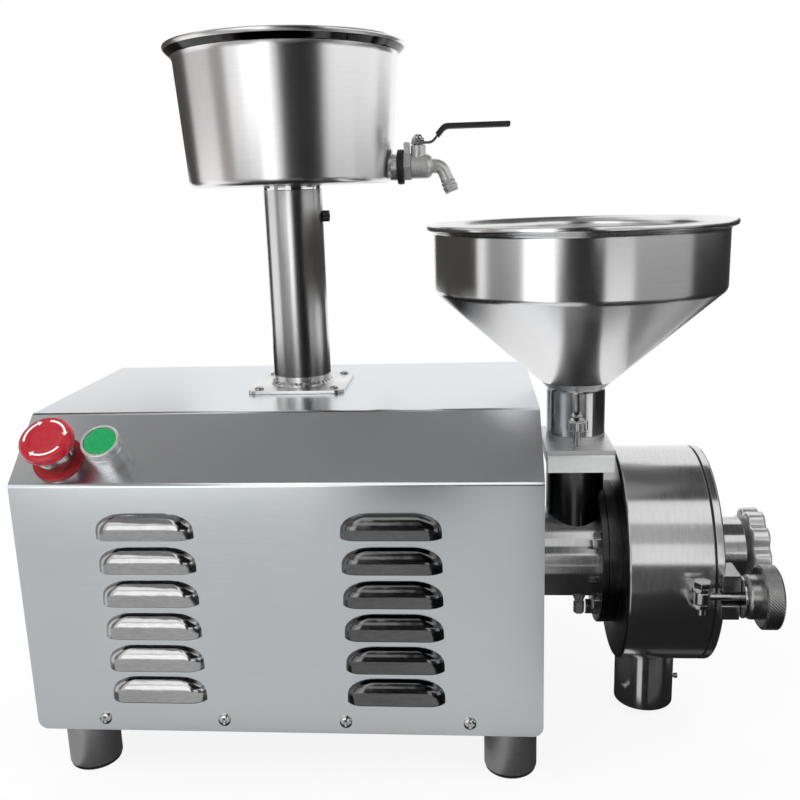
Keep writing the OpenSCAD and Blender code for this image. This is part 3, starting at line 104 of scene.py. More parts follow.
def ramp(tree, factor, stops):
    """A colour ramp with its stops given as place and sRGB hex."""
    n = add_node(tree, "ShaderNodeValToRGB", inputs={"Fac": factor})
    while len(n.color_ramp.elements) < len(stops):
        n.color_ramp.elements.new(0.5)
    for element, (place, code) in zip(n.color_ramp.elements, stops):
        element.position, element.color = place, colour(code)
    return n.outputs["Color"]


# Studio: white paper all round, which the lens and the metal both see. Soft
# lamps light the plastic and the paper from above and keep out of the metal.
world = bpy.data.worlds.new("studio")
bpy.context.scene.world = world
world.use_nodes = True
tree = world.node_tree
tree.nodes.clear()


def seen_directly(tree):
    """Tells a ray from the lens, or one mirrored or passed on, from a ray of soft light."""
    ray = add_node(tree, "ShaderNodeLightPath")
    mirrored = add_node(tree, "ShaderNodeMath", {"operation": "MAXIMUM"}, {
        0: ray.outputs["Is Camera Ray"], 1: ray.outputs["Is Glossy Ray"]})
    return add_node(tree, "ShaderNodeMath", {"operation": "MAXIMUM"}, {
        0: mirrored.outputs[0], 1: ray.outputs["Is Transmission Ray"]}).outputs[0]


seen = add_node(tree, "ShaderNodeMix", {"data_type": "RGBA"}, {
    0: seen_directly(tree), 6: colour("c4c6c8"), 7: colour("ffffff")})
sky = add_node(tree, "ShaderNodeBackground", inputs={"Color": seen.outputs[2], "Strength": 1.0})
add_node(tree, "ShaderNodeOutputWorld", inputs={"Surface": sky.outputs[0]})

for name, place, aim, size, watts in (
        ("key_panel", (-500, -900, 1300), (220, 100, 250), 0.9, 12.5),
        ("fill_panel", (1300, -700, 900), (350, 100, 250), 0.9, 7),
        ("back_panel", (250, 1400, 1100), (250, 100, 300), 1.2, 8)):
    lamp = bpy.data.lights.new(name, "AREA")
    lamp.shape, lamp.size, lamp.size_y, lamp.energy = "RECTANGLE", size, size * 1.2, watts
    holder = add_object(name, lamp)
    holder.location = spot(*place)
    holder.rotation_euler = (spot(*place) - spot(*aim)).to_track_quat("Z", "Y").to_euler()
    holder.visible_glossy = False

# Cards: grey and black boards round the machine, which only the metal sees, as
# a photographer flags a white tent. They draw the bands in the polished steel.
# A level one shows only the side that the order of its corners turns outwards.
for name, shade, low, high, *strength in (
        ("camera_flag_low", "1e1e1e", (275, -460, 215), (485, -103, 442)),
        ("camera_flag_high", "1e1e1e", (284, -445, 442), (466, -137, 1090)),
        ("louvre_flag_low", "2a2a2a", (190, -560, 60), (255, -560, 395)),
        ("louvre_flag_high", "2a2a2a", (170, -560, 620), (255, -560, 1090)),
        ("louvre_flag_right", "2a2a2a", (255, -560, 60), (335, -560, 1090)),
        ("bright_strip", "ffffff", (-260, -561, 500), (170, -561, 800), 1.6),
        ("hopper_card_right", "989898", (650, -215, 235), (830, 30, 468)),
        ("hopper_flag_right", "262626", (830, 30, 180), (800, 420, 470)),
        ("hopper_card_left", "989898", (90, -238, 322), (-39, -16, 474)),
        ("hopper_flag_left", "464442", (268, 60, 380), (268, 300, 466)),
        ("tank_card_left", "96918e", (-222, -236, 100), (-312, -92, 1090)),
        ("tank_card_far_left", "c6c2bf", (-312, -92, 490), (-350, 260, 1090)),
        ("tank_flag_left", "484442", (-350, 260, 490), (-60, 640, 1090)),
        ("tank_rim_flag", "161616", (60, -130, 320), (325, 300, 320)),
        ("louvre_strip_low", "ffffff", (-260, -562, 120), (165, -562, 395), 1.8),
        ("louvre_strip_high", "ffffff", (-260, -562, 800), (165, -562, 1090), 1.8),
        ("fold_strip", "ffffff", (230, -30, 272), (412, -30, 305), 1.3),
        ("gate_flag_under", "606060", (478, 98, 246), (412, 150, 246)),
        ("cone_card_left", "e4e4e4", (330, 50, 312), (424, 200, 312), 1.25),
        ("cone_flag_middle", "2c2c2c", (424, 50, 312), (468, 150, 312)),
        ("cone_card_right", "e0e0e0", (468, 50, 312), (500, 150, 312), 1.2),
        ("gate_card", "f0f0f0", (400, 60, 200), (484, 60, 242), 0.8),
        ("outlet_strip", "d4d4d4", (490, 102, 0), (503, 102, 46)),
        ("outlet_card", "545454", (518, 102, 0), (580, 102, 46)),
        ("drum_flag_low", "4a4a4a", (445, -300, 40), (760, -300, 222)),
        ("drum_card_high", "b4b4b4", (520, -300, 385), (740, -300, 640)),
        ("mill_flag_right", "303030", (900, -100, 0), (900, 600, 235)),
        ("ceiling_over_mill", "444444", (1100, -150, 1100), (450, 700, 1100)),
        ("ceiling_over_panel", "868686", (450, -450, 1100), (-700, 150, 1100)),
        ("floor_card_far", "d0d0d0", (-1600, -2600, 1), (520, -900, 1)),
        ("floor_card_middle", "cacaca", (-1200, -900, 1), (520, -330, 1)),
        ("floor_card_front", "cacaca", (-900, -330, 1), (445, -70, 1)),
        ("floor_flag_far", "262626", (520, -900, 1), (1100, -330, 1)),
        ("floor_flag_front", "262626", (445, -330, 1), (1100, 120, 1)),
        ("floor_flag_mill", "262626", (445, 120, 1), (640, 700, 1)),
        ("floor_card_mill", "b8b8b8", (640, 120, 1), (1100, 700, 1)),
        ("floor_card_left", "686868", (-200, -70, 1), (-60, 330, 1)),
        ("foot_strip_left", "a2a2a2", (-60, -70, 1), (12, 330, 1)),
        ("floor_flag_under", "3a3a3a", (12, -70, 1), (340, 330, 1)),
        ("foot_strip_right", "8c8c8c", (340, -70, 1), (374, 330, 1)),
        ("floor_flag_right", "3a3a3a", (374, -70, 1), (445, 330, 1)),
        ("rear_flag_left", "3c3c3c", (-900, 500, 0), (-520, 1000, 560)),
        ("rear_flag_right", "3c3c3c", (860, 1000, 0), (1200, 600, 560))):
    board = bmesh.new()
    is_level = low[2] == high[2]
    corners = (low, (high[0], low[1] if is_level else high[1], low[2]), high,
               (low[0], high[1] if is_level else low[1], high[2]))
    board.faces.new([board.verts.new(spot(*c)) for c in corners])
    mesh = bpy.data.meshes.new(name)
    board.to_mesh(mesh)
    board.free()
    matt = bpy.data.materials.new("matt_" + name)
    matt.use_nodes = True
    matt.node_tree.nodes.clear()
    matt.cycles.emission_sampling = "NONE"
    tree = matt.node_tree
    face = add_node(tree, "ShaderNodeEmission", inputs={
        "Color": colour(shade), "Strength": strength[0] if strength else 1.0}).outputs[0]
    if is_level:
        behind = add_node(tree, "ShaderNodeNewGeometry").outputs["Backfacing"]
        clear = add_node(tree, "ShaderNodeBsdfTransparent")
        face = add_node(tree, "ShaderNodeMixShader", inputs={
            0: behind, 1: face, 2: clear.outputs[0]}).outputs[0]
    add_node(tree, "ShaderNodeOutputMaterial", inputs={"Surface": face})
    mesh.materials.append(matt)
    flag = add_object(name, mesh)
    flag.visible_camera = flag.visible_diffuse = flag.visible_transmission = flag.visible_shadow = False


def new_finish(name):
    """A material with its shader joined to the output, and its object coordinates."""
    material = bpy.data.materials.new(name)
    material.use_nodes = True
    material.node_tree.nodes.clear()
    shader = add_node(material.node_tree, "ShaderNodeBsdfPrincipled")
    add_node(material.node_tree, "ShaderNodeOutputMaterial", inputs={"Surface": shader.outputs[0]})
    places = add_node(material.node_tree, "ShaderNodeTexCoord").outputs["Object"]
    return material, material.node_tree, shader, places


# Floor: white seamless paper, which keeps a soft grey shadow under the feet
# and turns to plain white away from them.
FLOOR_HALF, FLOOR_DROP, SHADOW_FROM, SHADOW_TO = 6.0, 0.0006, 0.25, 0.7
floor_bm = bmesh.new()
bmesh.ops.create_grid(floor_bm, x_segments=4, y_segments=4, size=FLOOR_HALF)
bmesh.ops.translate(floor_bm, verts=floor_bm.verts, vec=(0, 0, -FLOOR_DROP))
floor_mesh = bpy.data.meshes.new("paper_floor")
floor_bm.to_mesh(floor_mesh)
floor = add_object("paper_floor", floor_mesh)
paper, tree, shader, places = new_finish("white_seamless_paper")
shader.inputs["Roughness"].default_value = 0.9
shader.inputs["Specular IOR Level"].default_value = 0.2
tooth = add_node(tree, "ShaderNodeTexNoise", inputs={"Vector": places, "Scale": 60.0, "Detail": 3.0})
tree.links.new(ramp(tree, tooth.outputs[0], [(0.3, "f2f2f2"), (0.7, "f8f8f8")]),
               shader.inputs["Base Color"])
glow = add_node(tree, "ShaderNodeEmission", inputs={"Color": colour("ffffff"), "Strength": 1.0})
away = add_node(tree, "ShaderNodeVectorMath", {"operation": "LENGTH"}, {0: places})
plainness = add_node(tree, "ShaderNodeMapRange", {"interpolation_type": "SMOOTHSTEP"}, {
    0: away.outputs["Value"], 1: SHADOW_FROM, 2: SHADOW_TO, 3: 0.88, 4: 1.0})
share = add_node(tree, "ShaderNodeMath", {"operation": "MULTIPLY"}, {
    0: seen_directly(tree), 1: plainness.outputs[0]})
blend = add_node(tree, "ShaderNodeMixShader", inputs={
    0: share.outputs[0], 1: shader.outputs[0], 2: glow.outputs[0]})
output = next(n for n in tree.nodes if n.type == "OUTPUT_MATERIAL")
tree.links.new(blend.outputs[0], output.inputs["Surface"])
floor.data.materials.append(paper)


# Cabinet cover: 304 stainless sheet 1.5 mm thick, folded over the front, the
# sloping control panel, the top and the back, with a dull polished face.
CABINET_W, CABINET_D, CABINET_LOW, CABINET_TOP = 410, 251, 56, 309
FACE_TOP, SLOPE_RUN, SHEET = 265, 53, 1.5
FOLD_R, CORNER_R = 2.2, 8


def stainless(name, light, dark, rough, spread, grain, scratch=0.0, waves=0.0, wave_size=60,
              turned=None, streak=0.75, metal=1.0):
    """Steel: two close greys, a wandering roughness, a grain, waviness and the lay of turning."""
    material, tree, shader, places = new_finish(name)
    shader.inputs["Metallic"].default_value = metal
    if turned:
        centre, axis = turned
        arm = add_node(tree, "ShaderNodeVectorMath", {"operation": "SUBTRACT"},
                       {0: places, 1: spot(*centre)})
        around = add_node(tree, "ShaderNodeVectorMath", {"operation": "CROSS_PRODUCT"}, {
            0: axis, 1: arm.outputs[0]})
        lay = add_node(tree, "ShaderNodeVectorTransform", {
            "vector_type": "VECTOR", "convert_from": "OBJECT", "convert_to": "WORLD"},
            {0: around.outputs[0]})
        tree.links.new(lay.outputs[0], shader.inputs["Tangent"])
        shader.inputs["Anisotropic"].default_value = streak
        shader.inputs["Anisotropic Rotation"].default_value = 0.25
    stretched = add_node(tree, "ShaderNodeMapping", inputs={"Vector": places, "Scale": grain})
    lines = add_node(tree, "ShaderNodeTexNoise", inputs={
        "Vector": stretched.outputs[0], "Scale": 20.0, "Detail": 4.0, "Roughness": 0.6})
    broad = add_node(tree, "ShaderNodeTexNoise", inputs={"Vector": places, "Scale": 9.0, "Detail": 2.0})
    mixed = add_node(tree, "ShaderNodeMath", {"operation": "ADD"},
                     {0: lines.outputs[0], 1: broad.outputs[0]})
    half = add_node(tree, "ShaderNodeMath", {"operation": "MULTIPLY"}, {0: mixed.outputs[0], 1: 0.5})
    tree.links.new(ramp(tree, half.outputs[0], [(0.35, dark), (0.65, light)]), shader.inputs["Base Color"])
    polish = add_node(tree, "ShaderNodeMapRange", inputs={
        0: half.outputs[0], 1: 0.3, 2: 0.7, 3: rough - spread, 4: rough + spread})
    tree.links.new(polish.outputs[0], shader.inputs["Roughness"])
    under = {}
    if waves:
        dents = add_node(tree, "ShaderNodeTexNoise", inputs={
            "Vector": places, "Scale": 1000.0 / wave_size, "Detail": 1.0})
        under["Normal"] = add_node(tree, "ShaderNodeBump", inputs={
            "Strength": 1.0, "Distance": waves / 1000, "Height": dents.outputs[0]}).outputs[0]
    if scratch:
        under["Normal"] = add_node(tree, "ShaderNodeBump", inputs={
            "Strength": 1.0, "Distance": scratch / 1000, "Height": lines.outputs[0], **under}).outputs[0]
    if under:
        tree.links.new(under["Normal"], shader.inputs["Normal"])
    return material


# A satin sheet reflects as a soft grey with almost no picture in it; its grain
# is drawn 0.5 mm wide, coarser than the real 0.1 mm, so that it shows.
satin_sheet = stainless("satin_stainless_sheet", "dfe4e8", "d8dde1", 0.24, 0.02, (3, 90, 90), scratch=0.003,
                        waves=0.02, wave_size=160)


def show(name, bm, body, material, replaced=(), sharp=32, finish=()):
    """Makes a piece of a mesh in millimetres on the machine, smooth but for its sharp edges."""
    for v in bm.verts:
        v.co = spot(*v.co)
    for face in bm.faces:
        face.smooth = True
    for edge in bm.edges:
        if len(edge.link_faces) == 2 and edge.calc_face_angle(0) > math.radians(sharp):
            edge.smooth = False
    mesh = bpy.data.meshes.new(name)
    bm.to_mesh(mesh)
    bm.free()
    mesh.materials.append(material)
    piece = add_object(name, mesh)
    for kind, settings in list(finish) + [("WEIGHTED_NORMAL", {"keep_sharp": True})]:
        modifier = piece.modifiers.new(kind.lower(), kind)
        for key, value in settings.items():
            setattr(modifier, key, value)
    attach(piece, body)
    if replaced:
        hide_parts(*replaced)
    return piece


def refinish(piece, finish, where):
    """Gives a further finish to the faces that a test of middle and normal picks."""
    piece.data.materials.append(finish)
    for face in piece.data.polygons:
        if where(face.center, face.normal):
            face.material_index = len(piece.data.materials) - 1


def join(bm, part, matrix=Matrix()):
    """Moves a part into a piece's mesh by a matrix."""
    part.transform(matrix)
    if matrix.determinant() < 0:
        bmesh.ops.reverse_faces(part, faces=part.faces)
    loose = bpy.data.meshes.new("loose")
    part.to_mesh(loose)
    part.free()
    bm.from_mesh(loose)
    bpy.data.meshes.remove(loose)


def facing(at, axis=(0, 0, 1), spin=0):
    """A matrix that puts a part's Z along an axis at a place on the machine."""
    z = Vector(axis).normalized()
    x = Vector((0, 0, 1)).cross(z) if abs(z.z) < 0.999 else Vector((1, 0, 0))
    x.normalize()
    turn = Matrix((x, z.cross(x), z)).transposed().to_4x4()
    return Matrix.Translation(at) @ turn @ Matrix.Rotation(math.radians(spin), 4, "Z")


def soften(bm, geom, offset, segments, affect="VERTICES"):
    """Rounds corners or breaks edges."""
    bmesh.ops.bevel(bm, geom=geom, offset=offset, segments=segments, affect=affect, profile=0.5,
                    material=-1, clamp_overlap=affect == "EDGES")


def lathe(bm, profile, at, axis=(0, 0, 1), steps=96, ring=False, shape=None):
    """Turns a profile of radius, height and maybe corner rounding; shape moves its points."""
    part = bmesh.new()
    verts = [part.verts.new((r, 0, h)) for r, h, *_ in profile]
    pairs = list(zip(verts, verts[1:])) + ([(verts[-1], verts[0])] if ring else [])
    for pair in pairs:
        part.edges.new(pair)
    for v, (_, _, *rounding) in zip(verts, profile):
        if any(rounding):
            soften(part, [v], rounding[0], 4)
    bmesh.ops.spin(part, geom=part.verts[:] + part.edges[:], axis=(0, 0, 1), cent=(0, 0, 0),
                   steps=steps, angle=math.tau, use_merge=True)
    bmesh.ops.remove_doubles(part, verts=part.verts, dist=0.0005)
    bmesh.ops.recalc_face_normals(part, faces=part.faces)
    for v in part.verts if shape else ():
        shape(v)
    join(bm, part, facing(at, axis))


def ribs(v, count, beyond, depth):
    """Cuts straight ribs into what lies beyond a radius."""
    r = math.hypot(v.co.x, v.co.y)
    if r > beyond:
        wave = abs(((math.atan2(v.co.y, v.co.x) / math.tau * count) % 1) * 2 - 1)
        v.co.x, v.co.y = v.co.x * (1 - depth * wave / r), v.co.y * (1 - depth * wave / r)


def prism(bm, outline, low, high, matrix, edge=0.4, segments=2, holes=()):
    """Raises an outline of x, y and maybe corner rounding, with its edges broken."""
    part = bmesh.new()
    verts = [part.verts.new((x, y, low)) for x, y, *_ in outline]
    for pair in zip(verts, verts[1:] + verts[:1]):
        part.edges.new(pair)
    for v, (_, _, *rounding) in zip(verts, outline):
        if any(rounding):
            soften(part, [v], rounding[0], 6)
    for x, y, r in holes:
        bmesh.ops.create_circle(part, segments=96, radius=r, matrix=Matrix.Translation((x, y, low)))
    bmesh.ops.triangle_fill(part, edges=part.edges[:], use_beauty=True)
    raised = bmesh.ops.extrude_face_region(part, geom=part.faces[:])["geom"]
    bmesh.ops.translate(part, verts=[g for g in raised if isinstance(g, bmesh.types.BMVert)],
                        vec=(0, 0, high - low))
    bmesh.ops.dissolve_limit(part, angle_limit=0.001, verts=part.verts[:], edges=part.edges[:])
    bmesh.ops.recalc_face_normals(part, faces=part.faces)
    if edge:
        rims = [e for e in part.edges if len(e.link_faces) == 2
                and abs(abs(e.link_faces[0].normal.z) - abs(e.link_faces[1].normal.z)) > 0.5]
        hard = [e for e in part.edges if e not in rims and e.calc_face_angle(0) > math.radians(25)]
        soften(part, rims + hard, edge, segments, "EDGES")
    join(bm, part, matrix)


def block_outline(x0, y0, x1, y1, rounding=0.0):
    """A rectangle for prism."""
    return [(x0, y0, rounding), (x1, y0, rounding), (x1, y1, rounding), (x0, y1, rounding)]


def hexagon(across_flats, rounding=0.0):
    """A hexagon for prism."""
    r = across_flats / math.sqrt(3)
    corners = [math.radians(a) for a in range(0, 360, 60)]
    return [(r * math.cos(a), r * math.sin(a), rounding) for a in corners]


LOUVRE_W, LOUVRE_H, LOUVRE_OUT, LOUVRE_SHEET = 77.5, 20.5, 7.9, 1.2
LOUVRE_ROWS = [94.9 + 27.5 * i for i in range(6)]
LOUVRE_COLUMNS = (104.5, 295.0)
HOLE_IN = 7

cover = bmesh.new()
path = [(0, CABINET_D, CABINET_LOW), (0, CABINET_D, CABINET_TOP), (0, SLOPE_RUN, CABINET_TOP),
        (0, 0, FACE_TOP), (0, 0, CABINET_LOW)]
verts = [cover.verts.new(p) for p in path]
for pair in zip(verts, verts[1:]):
    cover.edges.new(pair)
for v in verts[1:-1]:
    soften(cover, [v], FOLD_R, 5)
swept = bmesh.ops.extrude_edge_only(cover, edges=cover.edges[:])["geom"]
bmesh.ops.translate(cover, verts=[g for g in swept if isinstance(g, bmesh.types.BMVert)],
                    vec=(CABINET_W, 0, 0))
low_corners = [v for v in cover.verts if v.co.z < CABINET_LOW + 0.01]
soften(cover, low_corners, CORNER_R, 8)


def cut_front(place, across):
    """Cuts the cover's front face along a plane."""
    front = [f for f in cover.faces if f.calc_center_median().y < 0.01]
    edges, corners = {e for f in front for e in f.edges}, {v for f in front for v in f.verts}
    bmesh.ops.bisect_plane(cover, geom=front + list(edges) + list(corners), plane_co=place, plane_no=across)


for x in LOUVRE_COLUMNS:
    for side in (-1, 1):
        cut_front((x + side * (LOUVRE_W / 2 - HOLE_IN), 0, 0), (1, 0, 0))
for z in LOUVRE_ROWS:
    for cut_z in (z - LOUVRE_H / 2, z + LOUVRE_H / 2 - HOLE_IN):
        cut_front((0, 0, cut_z), (0, 0, 1))
middles = [(f, f.calc_center_median()) for f in cover.faces]
openings = [f for f, at in middles if at.y < 0.01
            and any(abs(at.x - x) < LOUVRE_W / 2 - HOLE_IN for x in LOUVRE_COLUMNS)
            and any(-LOUVRE_H / 2 < at.z - z < LOUVRE_H / 2 - HOLE_IN for z in LOUVRE_ROWS)]
bmesh.ops.delete(cover, geom=openings, context="FACES")
bmesh.ops.recalc_face_normals(cover, faces=cover.faces)
if max(cover.faces, key=lambda f: f.calc_center_median().z).normal.z < 0:
    bmesh.ops.reverse_faces(cover, faces=cover.faces)
for edge in cover.edges:
    edge.smooth = len(edge.link_faces) > 1
show("cover_sheet", cover, "cabinet", satin_sheet, ["cabinet_cover"], sharp=60,
     finish=[("SOLIDIFY", {"thickness": SHEET / 1000, "offset": -1.0, "use_even_offset": True})])
for name in ("left_end_panel", "right_end_panel", "base_tray"):
    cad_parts[name].data.materials[0] = satin_sheet

# Louvres: pressed out of the front sheet with a punch, so each is a loaf with
# rounded ends and an open lower edge. The pressing stretched the metal bright
# and a little wavy; the right column, beside the mill, has a painted dark reflection.
bright_pressing = stainless("bright_pressed_louvre", "c4c4c4", "aaaaaa", 0.15, 0.03, (6, 30, 30),
                            scratch=0.0, waves=0.30, wave_size=11)
louvre_painted_reflection = stainless("pressed_louvre_painted_reflection", "767676", "606060", 0.13, 0.03, (6, 30, 30),
                            scratch=0.0, waves=0.20, wave_size=14)
hoods = bmesh.new()
CORNER_ROUND, CORNER_WIDE, SHOULDER, TOP_SHOULDER, LEAN, CURL = 18.5, 16.5, 12.0, 12.5, 0.6, 1.0
ROOT = 0.5
for x0 in LOUVRE_COLUMNS:
    for z0 in LOUVRE_ROWS:
        hood = bmesh.new()
        bmesh.ops.create_grid(hood, x_segments=72, y_segments=30, size=1.0)
        for v in hood.verts:
            z = ((v.co.y + 1) / 2) ** 1.3 * LOUVRE_H
            up = max(0.0, (z - (LOUVRE_H - CORNER_ROUND)) / CORNER_ROUND)
            half = LOUVRE_W / 2 - CORNER_WIDE * (1 - max(0.0, 1 - up ** 2.5) ** 0.4)
            x = half * math.sin(v.co.x * math.pi / 2)
            across = max(0.0, 1 - (half - abs(x)) / SHOULDER)
            over = max(0.0, 1 - (LOUVRE_H - z) / TOP_SHOULDER)
            full = max(0.0, 1 - min(1.0, across ** 2 + over ** 2)) ** 0.7
            curl = CURL * (1 - math.sqrt(1 - max(0.0, 1 - z / CURL) ** 2))
            out = full * (LOUVRE_OUT + ROOT - LEAN * (1 - z / LOUVRE_H) - curl)
            v.co = (x0 + x, ROOT - out, z0 - LOUVRE_H / 2 + z)
        join(hoods, hood)
for face in hoods.faces:
    face.normal_update()
if sum(f.normal.y for f in hoods.faces) > 0:
    bmesh.ops.reverse_faces(hoods, faces=hoods.faces)
louvres = show("louvre_hoods", hoods, "cabinet", bright_pressing, ["cabinet_cover"],
               sharp=70, finish=[("SOLIDIFY", {"thickness": LOUVRE_SHEET / 1000, "offset": -1.0})])
# The right column is drawn dark grey: a painted dark reflection.
refinish(louvres, louvre_painted_reflection, lambda at, way: at.x > spot(CABINET_W / 2, 0, 0).x)

# Screws: domed pan heads with a cross recess, along the cover's bottom edges and
# in the corners of the mast plate. Zinc plating gives them small sharp glints.
plated = stainless("bright_plated_steel", "d8d8d8", "b8b8b8", 0.14, 0.05, (50, 50, 50), scratch=0.002)
HEAD_R, HEAD_H, CROSS_W = 5.0, 2.7, 0.9
SCREW_XS = (57.4, 155.8, 254.2, 352.6)
SCREW_Z, PLATE_TOP, PLATE_PITCH = 66.7, 312, 66


def cross_head(bm, r, at, axis):
    """A domed screw head with a cross pressed into it."""
    profile = [(0, HEAD_H * r / HEAD_R, 0)]
    for i in range(1, 15):
        a = i / 14 * math.pi / 2
        profile.append((r * math.sin(a) ** 0.9, r / HEAD_R * (0.7 + (HEAD_H - 0.7) * math.cos(a)), 0))
    profile.append((r, 0, 0))

    def press(v):
        wide, long = sorted((abs(v.co.x), abs(v.co.y)))
        if long < r * 0.55 and wide < CROSS_W * r / HEAD_R:
            v.co.z -= 0.9 * (1 - (long / (r * 0.55)) ** 2)

    lathe(bm, profile, at, axis, steps=64, shape=press)


screws = bmesh.new()
for x in SCREW_XS:
    cross_head(screws, HEAD_R, (x, 0, SCREW_Z), (0, -1, 0))
    cross_head(screws, HEAD_R, (x, CABINET_D, SCREW_Z), (0, 1, 0))
for i in (-1, 1):
    for j in (-1, 1):
        at = (MAST_X + i * PLATE_PITCH / 2, MAST_Y + j * PLATE_PITCH / 2, PLATE_TOP)
        cross_head(screws, HEAD_R * 0.8, at, (0, 0, 1))
show("pan_head_screws", screws, "cabinet", plated, ["pan_screws"])

# Feet: short stainless tubes on black rubber pads, brushed to a soft satin
# that shows no picture of the floor.
satin_foot = stainless("satin_foot_tube", "d6d6d6", "c6c6c6", 0.42, 0.04, (12, 12, 60), scratch=0.002)
FOOT_R, FOOT_WALL, PAD_T = 22, 2.5, 3
feet, pads = bmesh.new(), bmesh.new()
for x in (24, 386):
    for y in (46, 205):
        lathe(feet, [(FOOT_R, PAD_T, 0.5), (FOOT_R, CABINET_LOW), (FOOT_R - FOOT_WALL, CABINET_LOW),
                     (FOOT_R - FOOT_WALL, PAD_T, 0.5)], (x, y, 0), ring=True)
        lathe(pads, [(0, 0), (FOOT_R * 0.96, 0, 0.7), (FOOT_R * 0.96, PAD_T, 0.3), (FOOT_R * 0.8, PAD_T),
                     (FOOT_R * 0.8, PAD_T * 4), (0, PAD_T * 4)], (x, y, 0))
show("foot_tube_set", feet, "cabinet", satin_foot, ["foot_tubes"])


def plain(name, light, dark, rough, spread, scale=400.0, bump=0.02, gloss=0.5, coat=0.0):
    """A plastic, paint or rubber: two close shades, uneven roughness and a fine surface texture."""
    material, tree, shader, places = new_finish(name)
    noise = add_node(tree, "ShaderNodeTexNoise", inputs={
        "Vector": places, "Scale": scale, "Detail": 4.0, "Roughness": 0.6})
    tree.links.new(ramp(tree, noise.outputs[0], [(0.35, dark), (0.65, light)]), shader.inputs["Base Color"])
    wear = add_node(tree, "ShaderNodeMapRange", inputs={
        0: noise.outputs[0], 1: 0.3, 2: 0.7, 3: rough - spread, 4: rough + spread})
    tree.links.new(wear.outputs[0], shader.inputs["Roughness"])
    shader.inputs["Specular IOR Level"].default_value = gloss
    shader.inputs["Coat Weight"].default_value = coat
    shader.inputs["Coat Roughness"].default_value = 0.08
    texture = add_node(tree, "ShaderNodeBump", inputs={
        "Strength": 1.0, "Distance": bump / 1000, "Height": noise.outputs[0]})
    tree.links.new(texture.outputs[0], shader.inputs["Normal"])
    return material


# Moulded rubber keeps the mould's dull face, so it shows no highlights.
rubber = plain("black_moulded_rubber", "1c1c1c", "121212", 0.55, 0.08, scale=900.0, bump=0.03)
show("foot_pad_set", pads, "cabinet", rubber, ["foot_pads"])

# Controls: they stand square on the sloping panel, whose own X runs along the
# cabinet and whose Y climbs the slope. Emergency stop first: a dished red
# mushroom with three white turn arrows, a ribbed bright neck and a red disc.
SLOPE = math.atan2(CABINET_TOP - FACE_TOP, SLOPE_RUN)
PANEL_OUT = (0, -math.sin(SLOPE), math.cos(SLOPE))


def on_panel(x, up):
    """A place on the sloping panel."""
    return x, up * math.cos(SLOPE), FACE_TOP + up * math.sin(SLOPE)


STOP_AT, START_AT = on_panel(34.5, 24), on_panel(75, 25)
# Injection moulded caps come out glossy, and the printed arrows matt.
red = plain("red_gloss_plastic", "b41f2d", "a81927", 0.22, 0.05, scale=260.0, bump=0.004, gloss=0.5,
            coat=0.4)
dark_red = plain("red_anodised_disc", "a81c24", "941820", 0.34, 0.06, scale=500.0, bump=0.01)
white_print = plain("white_printed_arrow", "f4f4f4", "e6e6e6", 0.4, 0.05)
head = bmesh.new()
lathe(head, [(0, 29.0), (11.4, 29.25, 1.5), (13.5, 29.85, 0.8), (18.0, 29.85, 1.2), (20.0, 28.6, 1.0),
             (20.7, 26.6, 1.0), (20.7, 23.0, 1.2), (19.6, 20.6, 0.8), (15.6, 20.5, 0.4), (15.6, 25.3)],
      STOP_AT, PANEL_OUT, steps=128)
show("stop_head_shell", head, "stop_head", red, ["estop_head"], sharp=50)
arrows = bmesh.new()
ARROW_R, ARROW_W, ARROW_BARB, ARROW_Z = 15.6, 0.8, 2.2, 29.86
for start, end in ((192, 122), (88, 18), (328, 250)):
    shaft = [start + (end - start) * i / 14 for i in range(15)]
    tip = end + math.copysign(11, end - start)
    outer = [(ARROW_R + ARROW_W, a) for a in shaft] + [(ARROW_R + ARROW_BARB, shaft[-1])]
    inner = [(ARROW_R - ARROW_BARB, shaft[-1])] + [(ARROW_R - ARROW_W, a) for a in reversed(shaft)]
    outline = [(r * math.cos(math.radians(a)), r * math.sin(math.radians(a)), 0)
               for r, a in outer + [(ARROW_R, tip)] + inner]
    prism(arrows, outline, ARROW_Z - 0.3, ARROW_Z + 0.1, facing(STOP_AT, PANEL_OUT), edge=0)
show("stop_turn_arrows", arrows, "stop_head", white_print, ["estop_head"])
neck = bmesh.new()
lathe(neck, [(6.1, 20), (14.0, 20, 0.6), (14.0, 17.4, 0.2), (14.5, 17.2, 0.2), (14.5, 4.0, 0.3),
             (13.6, 3.4, 0.2), (13.6, 2.0)], STOP_AT, PANEL_OUT, steps=192,
      shape=lambda v: ribs(v, 48, 14.2, 0.55))
show("stop_ribbed_neck", neck, "cabinet", plated, ["estop_collar"])
disc = bmesh.new()
lathe(disc, [(11.4, 0), (20, 0, 0.3), (20, 2, 0.6), (11.4, 2)], STOP_AT, PANEL_OUT, steps=128, ring=True)
show("stop_red_disc", disc, "cabinet", dark_red, ["estop_backplate"])

# Start button: a green cap level with the rim of a stepped bezel, chromed to a
# soft satin that shows wide highlights.
green = plain("green_gloss_plastic", "1a9c58", "158f4f", 0.25, 0.05, scale=260.0, bump=0.004, coat=0.3)
satin_chrome = stainless("satin_chrome", "eaeaea", "dedede", 0.26, 0.02, (4, 4, 4), metal=0.75)
bezel = bmesh.new()
lathe(bezel, [(12.6, 11), (12.6, 23.8, 0.2), (13.2, 24, 0.2), (14.3, 24, 0.3), (14.75, 23.4, 0.3),
              (14.75, 16.9, 0.3), (14.2, 16.5, 0.1), (14.2, 15.9, 0.1), (14.6, 15.6, 0.2), (14.6, 11.2, 0.3),
              (13.9, 10.8, 0.1), (13.9, 10.1, 0.1), (13.75, 9.8, 0.1), (13.75, 0)], START_AT, PANEL_OUT,
      steps=128)
show("start_stepped_bezel", bezel, "cabinet", satin_chrome, ["start_bezel"])
cap = bmesh.new()
